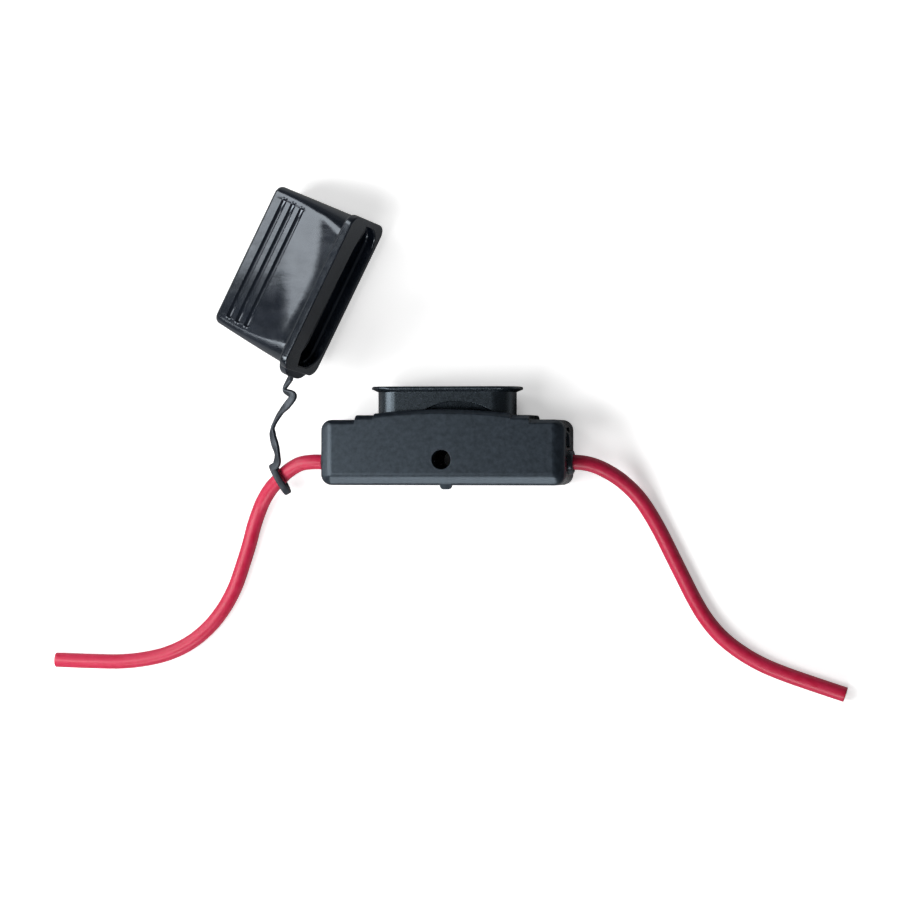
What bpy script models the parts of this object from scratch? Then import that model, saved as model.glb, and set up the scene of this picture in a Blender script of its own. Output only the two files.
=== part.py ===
"""Inline holder for one blade fuse, lying on its back with its cap off.

Sizes are in millimetres and are turned into metres where a mesh is made. X runs along the
housing, Y towards the mouth of the fuse socket, and Z up, out of the front cover. The origin
is the middle of the back face.
"""

import math

import bmesh
import bpy
from mathutils import Matrix, Vector

MM = 0.001

# Gap left between pieces that touch on the real holder
GAP = 0.3

# Depth by which a form that is joined to another starts inside it
ROOT = 0.7

# Blade fuse that the socket takes
FUSE_WIDTH = 19.1
FUSE_THICKNESS = 5.1
FUSE_PLAY = 0.35
BLADE_WIDTH = 5.2
BLADE_THICKNESS = 0.7
BLADE_SPACING = 13.5
BLADE_PLAY = 0.3

# Housing and cover together
BODY_LENGTH = 46.0
BODY_BOTTOM = -9.2
BODY_TOP = 3.0
BODY_THICKNESS = 13.8
BODY_CORNER = 2.0
BACK_EDGE = 1.4
WALL = 1.5
BACK_WALL = 1.6
TOP_WALL = 1.4
CAVITY_CORNER = 1.0

# Raised pad under the collar
PAD_LENGTH = 32.8
PAD_RISE = 0.85

# Collar round the fuse socket, and its lip
COLLAR_TOP = 9.2
COLLAR_END_WALL = 3.1
COLLAR_SIDE_WALL = 1.6
COLLAR_CORNER = 4.0
LIP_HEIGHT = 1.0
LIP_END_REACH = 1.1
LIP_SIDE_REACH = 0.8
LIP_UNDERCUT = 0.5
LIP_ROUND = 0.4
POCKET_FLOOR = 1.0
POCKET_CORNER = 0.6
POCKET_LEAD_IN = 0.35
RECESS_WIDTH = 9.6
RECESS_TOP = 6.1
RECESS_DEPTH = 0.8

# Front cover
COVER_PLATE = 2.0
COVER_EDGE = 2.2
COVER_EDGE_DROP = 1.6
GUARD_EDGE_SHARE = 0.4
GUARD_LENGTH = 25.8
GUARD_RISE = 1.15
GUARD_CROWN = 0.75
SPIGOT_DEPTH = 1.3
SPIGOT_WALL = 0.9
PRY_TAB_X = 0.7
PRY_TAB_WIDTH = 2.2
PRY_TAB_REACH = 0.75
PRY_TAB_ROUND = 0.7
PRY_TAB_HEIGHT = 1.1

# Snap hooks of the cover, in windows of the housing's ends
HOOK_BOTTOM = -1.9
HOOK_TOP = 1.2
HOOK_FACE = 10.0
HOOK_LENGTH = 3.2
HOOK_PROUD = 0.5
HOOK_ROUND = 1.7
HOOK_ARM = 1.0
HOOK_RAMP = 0.9
HOOK_STEP = 0.1

# Mounting screw
SCREW_Y = -4.4
SCREW_BORE = 3.6
SCREW_TUBE_WALL = 1.0

# Leads and the outlets that they leave by
LEAD_DIAMETER = 2.8
CONDUCTOR_DIAMETER = 1.8
LEAD_Y = -4.9
LEAD_START = 15.2
OUTLET_WALL = 0.6
OUTLET_REACH = 0.9
OUTLET_CHAMFER = 0.4
SADDLE_START = 18.2
SADDLE_LENGTH = 2.0
SADDLE_WIDTH = 4.4

# Terminals
STOCK = 0.35
RECEPTACLE_HALF = 2.2
RECEPTACLE_CURL = 0.9
RECEPTACLE_LENGTH = 7.7
RECEPTACLE_DROP = 0.75
CURL_LIFT = 0.15
CRIMP_WALL = 0.4
CRIMP_LENGTH = 3.6
CRIMP_START = 10.6
GRIP_WALL = 0.4
GRIP_LENGTH = 2.2
GRIP_START = 15.6
SPINE_WIDTH = 2.4
SPINE_THICKNESS = 0.45
SEAT_LENGTH = 4.3

# Cap
CAP_HEIGHT = 19.05
CAP_WALL = 1.0
CAP_PLAY = 0.35
CAP_END_WIDTH = 28.5
CAP_END_THICKNESS = 8.7
CAP_END_WALL = 1.3
CAP_CORNER = 1.6
CAP_MOUTH_CORNER = 5.0
CAP_CORNER_FLARE = 1.5
CAP_END_ROUND = 1.0
CAP_FLARE = 1.3
RIM_HEIGHT = 1.1
RIM_PROUD = 0.3
RIM_ROUND = 0.2
RIM_CORNER = 2.2
BEAD_FROM_MOUTH = 2.0
BEAD_PROUD = 0.2
BEAD_FOOT = 0.6
BEAD_CREST = 0.2
GROOVE_PLACES = (3.2, 5.5, 7.8)
GROOVE_WIDTH = 1.3
GROOVE_DEPTH = 0.45
GROOVE_END = 0.4
TAB_WIDTH = 9.6
TAB_LENGTH = 1.8
TAB_REACH = 1.6
TAB_ROOT = 2.0
TAB_CORNER = 3.4

# Place of the cap at rest: the middle of its closed end, its heading and its lift
CAP_PLACE = (-37.61, 34.2, 3.99)
CAP_HEADING = -26.3
CAP_LIFT = 17.4

# Strap and ring, moulded with the cap
STRAP_WIDTH = 1.5
STRAP_THICKNESS = 0.8
RING_BORE = 4.8
RING_WALL = 0.9
RING_WIDTH = 1.3
RING_TILT = 11.0
RING_RISE = 6.0

# Route points of the leads, from the crimp to the cut end
FLOOR_LINE = LEAD_DIAMETER / 2 + 0.01
LEFT_ROUTE = (
    (-LEAD_START, LEAD_Y, 6.9),
    (-19.5, LEAD_Y, 6.9),
    (-23.6, LEAD_Y, 6.9),
    (-26.0, -4.9, 6.85),
    (-28.4, -5.3, 6.5),
    (-30.8, -6.6, 5.8),
    (-32.6, -8.1, 4.9),
    (-34.4, -9.7, 3.9),
    (-35.9, -11.6, 2.9),
    (-37.1, -13.7, 2.1),
    (-38.4, -17.0, 1.55),
    (-39.4, -20.6, FLOOR_LINE),
    (-40.7, -24.7, FLOOR_LINE),
    (-42.3, -29.1, FLOOR_LINE),
    (-44.6, -33.2, FLOOR_LINE),
    (-47.6, -36.8, FLOOR_LINE),
    (-51.3, -39.7, FLOOR_LINE),
    (-55.6, -41.7, FLOOR_LINE),
    (-60.2, -42.8, FLOOR_LINE),
    (-64.9, -43.3, FLOOR_LINE),
    (-70.0, -43.3, FLOOR_LINE),
    (-74.5, -43.2, FLOOR_LINE),
    (-77.7, -43.1, FLOOR_LINE),
)
RING_POINT = 6
RIGHT_ROUTE = (
    (LEAD_START, LEAD_Y, 6.9),
    (19.5, LEAD_Y, 6.9),
    (23.7, LEAD_Y, 6.9),
    (26.0, -5.1, 6.8),
    (28.1, -5.7, 6.4),
    (30.1, -6.7, 5.7),
    (31.9, -7.9, 4.7),
    (33.5, -9.3, 3.7),
    (35.0, -10.9, 2.8),
    (36.4, -12.8, 2.0),
    (38.0, -15.4, 1.55),
    (39.7, -18.5, FLOOR_LINE),
    (41.7, -22.5, FLOOR_LINE),
    (43.7, -26.5, FLOOR_LINE),
    (45.8, -30.6, FLOOR_LINE),
    (48.1, -34.3, FLOOR_LINE),
    (51.0, -37.6, FLOOR_LINE),
    (54.5, -40.3, FLOOR_LINE),
    (58.4, -42.5, FLOOR_LINE),
    (62.6, -44.2, FLOOR_LINE),
    (66.7, -45.6, FLOOR_LINE),
    (71.0, -47.0, FLOOR_LINE),
    (73.8, -47.9, FLOOR_LINE),
)

# Strap: where it runs from the tab to the ring, and the turn of its flat side there
STRAP_ROUTE = (
    (-29.9, 10.9, 7.9, 50),
    (-31.1, 8.7, 7.5, 75),
    (-29.3, 7.6, 8.3, 10),
    (-30.3, 6.0, 8.2, 15),
    (-31.8, 4.4, 7.8, 60),
    (-33.2, 1.9, 7.8, 80),
    (-33.3, 0.2, 7.9, 40),
    (-32.9, -1.4, 8.0, 20),
    (-32.4, -3.4, 7.9, 55),
    (-32.6, -5.1, 7.4, 20),
)

# Worked out from the sizes above
HALF_LENGTH = BODY_LENGTH / 2
MIDDLE_Z = BODY_THICKNESS / 2
COVER_BACK = BODY_THICKNESS - COVER_PLATE
SHELL_FRONT = COVER_BACK - GAP
PAD_TOP = BODY_TOP + PAD_RISE
POCKET_WIDTH = FUSE_WIDTH + 2 * FUSE_PLAY
POCKET_THICKNESS = FUSE_THICKNESS + 2 * FUSE_PLAY
COLLAR_LENGTH = POCKET_WIDTH + 2 * COLLAR_END_WALL
COLLAR_THICKNESS = POCKET_THICKNESS + 2 * COLLAR_SIDE_WALL
CAVITY_HALF = HALF_LENGTH - WALL
CAVITY_BOTTOM = BODY_BOTTOM + WALL
CAVITY_TOP = BODY_TOP - TOP_WALL
FUSE_SEAT = CAVITY_TOP + POCKET_FLOOR
LEAD_BORE = LEAD_DIAMETER + 2 * GAP
OUTLET_DIAMETER = LEAD_BORE + 2 * OUTLET_WALL
SCREW_TUBE = SCREW_BORE + 2 * SCREW_TUBE_WALL
BLADE_X = BLADE_SPACING / 2
RECEPTACLE_TOP = CAVITY_TOP - GAP
RECEPTACLE_BASE = MIDDLE_Z - RECEPTACLE_DROP
CRIMP_BORE = CONDUCTOR_DIAMETER + 2 * GAP
CRIMP_OUTSIDE = CRIMP_BORE + 2 * CRIMP_WALL
GRIP_OUTSIDE = LEAD_BORE + 2 * GRIP_WALL
SPINE_TOP = MIDDLE_Z - CRIMP_BORE / 2 - 0.3
CAP_MOUTH_WIDTH = COLLAR_LENGTH + 2 * (LIP_END_REACH + CAP_PLAY + CAP_WALL)
CAP_MOUTH_THICKNESS = COLLAR_THICKNESS + 2 * (LIP_SIDE_REACH + CAP_PLAY + CAP_WALL)


def clear_scene():
    for item in list(bpy.data.objects):
        bpy.data.objects.remove(item)


def make_material(name, colour, roughness, metallic=0.0):
    material = bpy.data.materials.new(name)
    material.use_nodes = True
    shader = material.node_tree.nodes["Principled BSDF"]
    shader.inputs["Base Color"].default_value = (*colour, 1.0)
    shader.inputs["Roughness"].default_value = roughness
    shader.inputs["Metallic"].default_value = metallic
    return material


def outline(corners, steps=4):
    """A closed outline with its corners rounded; each corner is x, y and radius."""
    points = []
    count = len(corners)
    for i, (x, y, radius) in enumerate(corners):
        here = Vector((x, y))
        if radius <= 0:
            points.append(here)
            continue
        back = (Vector(corners[i - 1][:2]) - here).normalized()
        on = (Vector(corners[(i + 1) % count][:2]) - here).normalized()
        half = back.angle(on) / 2
        centre = here + (back + on).normalized() * (radius / math.sin(half))
        start = here + back * (radius / math.tan(half)) - centre
        end = here + on * (radius / math.tan(half)) - centre
        turn = start.angle_signed(end)
        for step in range(steps + 1):
            points.append(centre + Matrix.Rotation(-turn * step / steps, 2) @ start)
    return points


def rectangle(width, height, radius, x=0.0, y=0.0, steps=4):
    a, b = width / 2, height / 2
    return outline([(x - a, y - b, radius), (x + a, y - b, radius),
                    (x + a, y + b, radius), (x - a, y + b, radius)], steps)


def circle(diameter, x=0.0, y=0.0, sides=28):
    turns = [2 * math.pi * i / sides for i in range(sides)]
    return [Vector((x + diameter / 2 * math.cos(t), y + diameter / 2 * math.sin(t))) for t in turns]


def at_z(points, z):
    return [Vector((p.x, p.y, z)) for p in points]


def at_y(points, y):
    """Points of an outline drawn in X and Z."""
    return [Vector((p.x, y, p.y)) for p in points]


def at_x(points, x):
    """Points of an outline drawn in Y and Z."""
    return [Vector((x, p.x, p.y)) for p in points]


def loft(name, rings, closed=False):
    """A solid through rings of equally many points, with flat ends unless it closes on itself."""
    shape = bmesh.new()
    rows = [[shape.verts.new(point * MM) for point in ring] for ring in rings]
    pairs = list(zip(rows, rows[1:]))
    if closed:
        pairs.append((rows[-1], rows[0]))
    else:
        shape.faces.new(rows[0])
        shape.faces.new(rows[-1])
    for low, high in pairs:
        for i in range(len(low)):
            j = (i + 1) % len(low)
            shape.faces.new((low[i], low[j], high[j], high[i]))
    bmesh.ops.recalc_face_normals(shape, faces=shape.faces)
    mesh = bpy.data.meshes.new(name)
    shape.to_mesh(mesh)
    shape.free()
    item = bpy.data.objects.new(name, mesh)
    bpy.context.scene.collection.objects.link(item)
    return item


def block(x0, x1, y0, y1, z0, z1):
    corners = [Vector((x0, y0)), Vector((x1, y0)), Vector((x1, y1)), Vector((x0, y1))]
    return loft("block", [at_z(corners, z0), at_z(corners, z1)])


def rod_x(diameter, x0, x1, y=LEAD_Y, z=MIDDLE_Z, sides=28):
    ring = circle(diameter, y, z, sides)
    return loft("rod", [at_x(ring, x0), at_x(ring, x1)])


def rod_z(diameter, x, y, z0, z1, sides=32):
    ring = circle(diameter, x, y, sides)
    return loft("rod", [at_z(ring, z0), at_z(ring, z1)])


def combine(target, tools, operation):
    """Joins tools to a solid or cuts them from it, and removes them."""
    for tool in tools:
        modifier = target.modifiers.new(operation, "BOOLEAN")
        modifier.operation = operation
        modifier.solver = "EXACT"
        modifier.object = tool
    bpy.context.view_layer.update()
    graph = bpy.context.evaluated_depsgraph_get()
    mesh = bpy.data.meshes.new_from_object(target.evaluated_get(graph))
    target.modifiers.clear()
    target.data = mesh
    for tool in tools:
        bpy.data.objects.remove(tool)
    return target


def join(target, *tools):
    return combine(target, tools, "UNION")


def cut(target, *tools):
    return combine(target, tools, "DIFFERENCE")


def finish(item, name, material, sharp=35.0):
    item.name = name
    item.data.name = name
    item.data.materials.clear()
    item.data.materials.append(material)
    item.data.shade_smooth()
    item.data.set_sharp_from_angle(angle=math.radians(sharp))
    return item


def body_outline(inset=0.0, guard=False):
    """Outline of the housing seen from the front, with the pad and, on the cover, the guard."""
    half, low, top = HALF_LENGTH - inset, BODY_BOTTOM + inset, BODY_TOP - inset
    pad, pad_top = PAD_LENGTH / 2 - inset, PAD_TOP - inset
    round_out = max(BODY_CORNER - inset, 0.3)
    right = [(half, low, round_out), (half, top, round_out), (pad, top, 0.2), (pad, pad_top, 0.25)]
    crown = []
    if guard:
        close = inset * GUARD_EDGE_SHARE
        reach, height = GUARD_LENGTH / 2 - close, BODY_TOP + GUARD_RISE - close
        right += [(reach, pad_top, 0.15), (reach, height, 0.2)]
        places = [reach * (0.8 - 0.2 * i) for i in range(9)]
        crown = [(x, height + GUARD_CROWN * (1 - (x / reach) ** 2), 0.0) for x in places]
    left = [(-x, y, radius) for x, y, radius in reversed(right)]
    return outline(right + crown + left)


def make_collar():
    """Neck round the fuse socket, and its lip, which is undercut so that the cap snaps on."""
    neck = rectangle(COLLAR_LENGTH, COLLAR_THICKNESS, COLLAR_CORNER, 0, MIDDLE_Z, 6)
    collar = loft("collar", [at_y(neck, BODY_TOP - ROOT), at_y(neck, COLLAR_TOP - LIP_HEIGHT / 2)])
    low = COLLAR_TOP - LIP_HEIGHT
    levels = [(low, LIP_END_REACH - 0.1), (low + LIP_UNDERCUT, 0.0), (COLLAR_TOP - LIP_ROUND, 0.0),
              (COLLAR_TOP - LIP_ROUND * 0.3, LIP_ROUND * 0.3), (COLLAR_TOP, LIP_ROUND)]
    rings = []
    for y, inset in levels:
        reach_x = COLLAR_LENGTH + 2 * (LIP_END_REACH - inset)
        reach_z = COLLAR_THICKNESS + 2 * (LIP_SIDE_REACH - inset * LIP_SIDE_REACH / LIP_END_REACH)
        rings.append(at_y(rectangle(reach_x, reach_z, COLLAR_CORNER, 0, MIDDLE_Z, 6), y))
    return join(collar, loft("lip", rings))


def make_outlet(side):
    """Round boss that a lead leaves the housing by."""
    end = HALF_LENGTH + OUTLET_REACH
    rings = []
    for x, inset in ((HALF_LENGTH - ROOT, 0.0), (end - OUTLET_CHAMFER, 0.0), (end, OUTLET_CHAMFER)):
        ring = circle(OUTLET_DIAMETER - 2 * inset, LEAD_Y, MIDDLE_Z)
        rings.append(at_x(ring, side * x))
    return loft("outlet", rings)


def terminal_seats(side):
    """Block under the receptacle, rib beside it, and saddle under the lead."""
    floor = BACK_WALL - 0.5
    seat_half = RECEPTACLE_HALF
    seat_top = RECEPTACLE_BASE - STOCK / 2 - GAP
    x = side * BLADE_X
    seat = block(x - seat_half, x + seat_half, RECEPTACLE_TOP - SEAT_LENGTH, RECEPTACLE_TOP,
                 floor, seat_top)
    rib_x = side * (BLADE_X + RECEPTACLE_HALF + RECEPTACLE_CURL + STOCK + 0.7)
    rib = block(rib_x - 0.4, rib_x + 0.4, CAVITY_TOP - 3.9, CAVITY_TOP + 0.5, floor, MIDDLE_Z - 1.3)
    saddle_x = side * (SADDLE_START + SADDLE_LENGTH / 2)
    half = SADDLE_LENGTH / 2
    saddle = block(saddle_x - half, saddle_x + half, CAVITY_BOTTOM - 0.5, LEAD_Y + SADDLE_WIDTH / 2,
                   floor, MIDDLE_Z)
    return [seat, rib, saddle]


def socket_cutters():
    """Fuse pocket with its lead-in, the two blade slots, and the recess under the lip."""
    rings = []
    top = COLLAR_TOP + 0.1
    for y, grow in ((FUSE_SEAT, 0.0), (COLLAR_TOP - POCKET_LEAD_IN, 0.0), (top, POCKET_LEAD_IN)):
        ring = rectangle(POCKET_WIDTH + 2 * grow, POCKET_THICKNESS + 2 * grow, POCKET_CORNER, 0, MIDDLE_Z)
        rings.append(at_y(ring, y))
    cutters = [loft("pocket", rings)]
    half_x, half_z = BLADE_WIDTH / 2 + BLADE_PLAY, BLADE_THICKNESS / 2 + BLADE_PLAY
    for x in (-BLADE_X, BLADE_X):
        cutters.append(block(x - half_x, x + half_x, CAVITY_TOP - 0.5, FUSE_SEAT + 0.5,
                             MIDDLE_Z - half_z, MIDDLE_Z + half_z))
    reach = RECESS_WIDTH / 2
    low = BODY_TOP + GUARD_RISE
    shares = [1 - 0.25 * i for i in range(9)]
    points = [Vector((reach * k, low + (RECESS_TOP - low) * (1 - k * k))) for k in shares]
    front = MIDDLE_Z + COLLAR_THICKNESS / 2
    cutters.append(loft("recess", [at_z(points, front - RECESS_DEPTH), at_z(points, front + 0.5)]))
    return cutters


def hook_window(side):
    inner, outer = CAVITY_HALF - 0.5, HALF_LENGTH + 0.5
    x0, x1 = sorted((side * inner, side * outer))
    return block(x0, x1, HOOK_BOTTOM - GAP, HOOK_TOP + GAP, HOOK_FACE - HOOK_LENGTH - GAP, HOOK_FACE + GAP)


def make_housing(material):
    rings = []
    for turn in (90, 60, 30, 0):
        angle = math.radians(turn)
        inset = BACK_EDGE * (1 - math.cos(angle))
        rings.append(at_z(body_outline(inset), BACK_EDGE * (1 - math.sin(angle))))
    rings.append(at_z(body_outline(), SHELL_FRONT))
    shell = loft("housing", rings)
    join(shell, make_collar(), make_outlet(-1), make_outlet(1))
    cavity = rectangle(2 * CAVITY_HALF, CAVITY_TOP - CAVITY_BOTTOM, CAVITY_CORNER,
                       0, (CAVITY_TOP + CAVITY_BOTTOM) / 2)
    cut(shell, loft("cavity", [at_z(cavity, BACK_WALL), at_z(cavity, SHELL_FRONT + 0.5)]))
    tube = rod_z(SCREW_TUBE, 0, SCREW_Y, BACK_WALL - 0.5, SHELL_FRONT)
    join(shell, tube, *terminal_seats(-1), *terminal_seats(1))
    bores = [rod_x(LEAD_BORE, side * (SADDLE_START - 0.5), side * (HALF_LENGTH + OUTLET_REACH + 0.5))
             for side in (-1, 1)]
    screw = rod_z(SCREW_BORE, 0, SCREW_Y, -0.5, SHELL_FRONT + 0.5)
    cut(shell, screw, *bores, *socket_cutters(), hook_window(-1), hook_window(1))
    return finish(shell, "housing", material)


def make_hook(side):
    """Arm with a ramped hook; its catch faces the front, in the window of the housing's end."""
    outer = CAVITY_HALF - GAP - HOOK_STEP
    inner = outer - HOOK_ARM
    back = HOOK_FACE - HOOK_LENGTH
    x0, x1 = sorted((side * inner, side * outer))
    shank = block(x0, x1, HOOK_BOTTOM + HOOK_STEP, HOOK_TOP - HOOK_STEP, back, COVER_BACK + 0.5)
    rings = []
    tip = HALF_LENGTH + HOOK_PROUD
    for z, reach, radius in ((back + HOOK_STEP, outer + 0.2, 0.2), (back + HOOK_RAMP, tip, HOOK_ROUND),
                             (HOOK_FACE, tip, HOOK_ROUND)):
        corners = [(inner + 0.2, HOOK_BOTTOM, 0.05), (reach, HOOK_BOTTOM, 0.15),
                   (reach, HOOK_TOP, radius), (inner + 0.2, HOOK_TOP, 0.05)]
        ring = [Vector((side * p.x, p.y)) for p in outline(corners)]
        rings.append(at_z(ring, z))
    return [shank, loft("hook", rings)]


def make_spigot():
    """Rim that locates the cover inside the shell."""
    length, height = 2 * (CAVITY_HALF - GAP), CAVITY_TOP - CAVITY_BOTTOM - 2 * GAP
    middle = (CAVITY_TOP + CAVITY_BOTTOM) / 2
    outside = rectangle(length, height, CAVITY_CORNER, 0, middle)
    inside = rectangle(length - 2 * SPIGOT_WALL, height - 2 * SPIGOT_WALL, 0.3, 0, middle)
    low = COVER_BACK - SPIGOT_DEPTH
    rim = loft("spigot", [at_z(outside, low), at_z(outside, COVER_BACK + 0.5)])
    core = loft("inside", [at_z(inside, low - 0.5), at_z(inside, COVER_BACK + 1.0)])
    tube = rod_z(SCREW_TUBE + 2 * GAP, 0, SCREW_Y, low - 1.0, COVER_BACK + 1.5)
    return cut(rim, core, tube)


def cover_ribs(side):
    """Ribs that hold the receptacle down, and the block that clamps the lead."""
    x = side * BLADE_X
    low = MIDDLE_Z + CURL_LIFT + RECEPTACLE_CURL + STOCK / 2 + GAP
    ribs = []
    for y in (RECEPTACLE_TOP - SEAT_LENGTH, RECEPTACLE_TOP - 1.6):
        ribs.append(block(x - RECEPTACLE_HALF, x + RECEPTACLE_HALF, y, y + 0.8, low, COVER_BACK + 0.5))
    clamp_x = side * (SADDLE_START + SADDLE_LENGTH / 2 + 0.2)
    half = SADDLE_LENGTH / 2
    wide = SADDLE_WIDTH / 2
    clamp = block(clamp_x - half, clamp_x + half, LEAD_Y - wide, LEAD_Y + wide,
                  MIDDLE_Z + GAP, COVER_BACK + 0.5)
    return ribs + [clamp]


def make_pry_tab():
    """Small round tab on the cover's lower edge, to lift it off by."""
    left, right = PRY_TAB_X - PRY_TAB_WIDTH / 2, PRY_TAB_X + PRY_TAB_WIDTH / 2
    root, tip = BODY_BOTTOM + 0.6, BODY_BOTTOM - PRY_TAB_REACH
    shape = outline([(left, root, 0), (left, tip, PRY_TAB_ROUND),
                     (right, tip, PRY_TAB_ROUND), (right, root, 0)])
    return loft("tab", [at_z(shape, COVER_BACK + 0.1), at_z(shape, COVER_BACK + PRY_TAB_HEIGHT)])


def make_cover(material):
    rings = [at_z(body_outline(0.0, True), COVER_BACK)]
    for turn in (0, 22.5, 45, 67.5, 90):
        angle = math.radians(turn)
        inset = COVER_EDGE * (1 - math.cos(angle))
        z = BODY_THICKNESS - COVER_EDGE_DROP * (1 - math.sin(angle))
        rings.append(at_z(body_outline(inset, True), z))
    cover = loft("front_cover", rings)
    join(cover, make_spigot(), make_pry_tab())
    for side in (-1, 1):
        join(cover, *make_hook(side), *cover_ribs(side))
    clear = [rod_x(LEAD_BORE, side * (SADDLE_START - 0.5), side * (CAVITY_HALF + 0.5)) for side in (-1, 1)]
    cut(cover, rod_z(SCREW_BORE, 0, SCREW_Y, COVER_BACK - 0.5, BODY_THICKNESS + 0.5), *clear)
    return finish(cover, "front_cover", material)


def receptacle_outline(x):
    """Section of the spring receptacle: a flat base with both edges curled over the blade."""
    base = RECEPTACLE_BASE
    middle = MIDDLE_Z + CURL_LIFT
    outer, inner = [], []
    for turn in range(-90, 151, 30):
        angle = math.radians(turn)
        for path, radius in ((outer, RECEPTACLE_CURL + STOCK / 2), (inner, RECEPTACLE_CURL - STOCK / 2)):
            path.append((RECEPTACLE_HALF + radius * math.cos(angle), middle + radius * math.sin(angle)))
    half = outer + list(reversed(inner))
    full = half + [(-px, z) for px, z in reversed(half)]
    return [Vector((x + px, z)) for px, z in full if z >= base - STOCK]


def make_terminal(side, name, material):
    section = receptacle_outline(side * BLADE_X)
    terminal = loft(name, [at_y(section, RECEPTACLE_TOP - RECEPTACLE_LENGTH),
                           at_y(section, RECEPTACLE_TOP)])
    start = BLADE_X + RECEPTACLE_HALF - 0.6
    low = SPINE_TOP - SPINE_THICKNESS
    web = [(start, RECEPTACLE_BASE + 0.1), (start, RECEPTACLE_BASE - 0.1), (CRIMP_START - 0.3, low),
           (GRIP_START + GRIP_LENGTH - 0.1, low), (GRIP_START + GRIP_LENGTH - 0.1, SPINE_TOP),
           (CRIMP_START, SPINE_TOP), (start + 1.1, RECEPTACLE_BASE + 0.1)]
    web = [Vector((side * x, z)) for x, z in web]
    spine = loft("spine", [at_y(web, LEAD_Y - SPINE_WIDTH / 2), at_y(web, LEAD_Y + SPINE_WIDTH / 2)])
    crimp = rod_x(CRIMP_OUTSIDE, side * CRIMP_START, side * (CRIMP_START + CRIMP_LENGTH), sides=20)
    grip = rod_x(GRIP_OUTSIDE, side * GRIP_START, side * (GRIP_START + GRIP_LENGTH), sides=20)
    join(terminal, spine, crimp, grip)
    bore = rod_x(CRIMP_BORE, side * (CRIMP_START - 0.5), side * (GRIP_START - 0.1), sides=20)
    clear = rod_x(LEAD_BORE, side * (LEAD_START - GAP), side * (GRIP_START + GRIP_LENGTH + 0.5), sides=20)
    cut(terminal, bore, clear)
    return finish(terminal, name, material)


def make_conductor(side, name, material):
    stub = rod_x(CONDUCTOR_DIAMETER, side * (CRIMP_START + 0.3), side * (LEAD_START - GAP), sides=16)
    return finish(stub, name, material)


def smooth_curve(points, steps=12):
    """A smooth curve through route points, as many close points."""
    points = [Vector(p) for p in points]
    ends = [points[0] * 2 - points[1]] + points + [points[-1] * 2 - points[-2]]
    curve = []
    for a, b, c, d in zip(ends, ends[1:], ends[2:], ends[3:]):
        for step in range(steps):
            t = step / steps
            curve.append(0.5 * (2 * b + (c - a) * t + (2 * a - 5 * b + 4 * c - d) * t ** 2
                                + (3 * b - a - 3 * c + d) * t ** 3))
    curve.append(points[-1])
    return curve


def spaced(curve, spacing):
    """Points read from a curve at equal steps of about the spacing."""
    along = [0.0]
    for a, b in zip(curve, curve[1:]):
        along.append(along[-1] + (b - a).length)
    count = math.ceil(along[-1] / spacing)
    picked, i = [], 0
    for step in range(count + 1):
        want = along[-1] * step / count
        while i < len(curve) - 2 and along[i + 1] < want:
            i += 1
        share = (want - along[i]) / (along[i + 1] - along[i])
        picked.append(curve[i].lerp(curve[i + 1], min(share, 1.0)))
    return picked


def make_lead(name, route, material):
    points = spaced(smooth_curve(route), 2 * LEAD_DIAMETER)
    data = bpy.data.curves.new(name, "CURVE")
    data.dimensions = "3D"
    data.bevel_depth = LEAD_DIAMETER / 2 * MM
    data.bevel_resolution = 2
    data.use_fill_caps = True
    spline = data.splines.new("POLY")
    spline.points.add(len(points) - 1)
    for target, point in zip(spline.points, points):
        target.co = (*(point * MM), 1.0)
    data.materials.append(material)
    lead = bpy.data.objects.new(name, data)
    bpy.context.scene.collection.objects.link(lead)
    return lead


def cap_size(height):
    """Outer width and thickness of the cap without its rim, by distance from the closed end."""
    share = height / CAP_HEIGHT
    width = CAP_END_WIDTH + (CAP_MOUTH_WIDTH - CAP_END_WIDTH) * share
    thickness = CAP_END_THICKNESS + (CAP_MOUTH_THICKNESS - CAP_END_THICKNESS) * share ** CAP_FLARE
    return width, thickness


def cap_ring(height, inset, groove=0.0, rim=False):
    """Ring of the cap, with corners that widen up to the rim; a groove sinks its wide faces."""
    width, thickness = cap_size(height)
    a, b = width / 2 - inset, thickness / 2 - inset
    share = (height / CAP_HEIGHT) ** CAP_CORNER_FLARE
    corner = CAP_CORNER + (CAP_MOUTH_CORNER - CAP_CORNER) * share
    radius = RIM_CORNER - inset - RIM_PROUD if rim else max(corner - inset, 0.4)
    slope = GROOVE_WIDTH / 4
    stop = width / 2 - corner - GROOVE_END - slope
    deep = b - groove
    corners = [(-a, -b, radius), (-stop - slope, -b, 0), (-stop, -deep, 0), (stop, -deep, 0),
               (stop + slope, -b, 0), (a, -b, radius), (a, b, radius), (stop + slope, b, 0),
               (stop, deep, 0), (-stop, deep, 0), (-stop - slope, b, 0), (-a, b, radius)]
    return at_y(outline(corners, 5), height)


def cap_outside():
    rings = []
    for turn in (0, 30, 60, 90):
        angle = math.radians(turn)
        height = CAP_END_ROUND * (1 - math.cos(angle))
        inset = CAP_END_ROUND * (1 - math.sin(angle))
        rings.append(cap_ring(height, inset))
    edge, slope = GROOVE_WIDTH / 2, GROOVE_WIDTH / 4
    groove = ((-edge, 0), (slope - edge, GROOVE_DEPTH), (edge - slope, GROOVE_DEPTH), (edge, 0))
    for place in GROOVE_PLACES:
        rings += [cap_ring(place + offset, 0, depth) for offset, depth in groove]
    last = GROOVE_PLACES[-1] + edge
    rim = CAP_HEIGHT - RIM_HEIGHT
    for share in (0.25, 0.5, 0.75, 1.0):
        rings.append(cap_ring(last + (rim - last) * share, 0))
    flange = ((rim + RIM_PROUD, 0.0), (CAP_HEIGHT - RIM_ROUND, 0.0), (CAP_HEIGHT, RIM_ROUND))
    return rings + [cap_ring(height, inset - RIM_PROUD, rim=True) for height, inset in flange]


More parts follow.
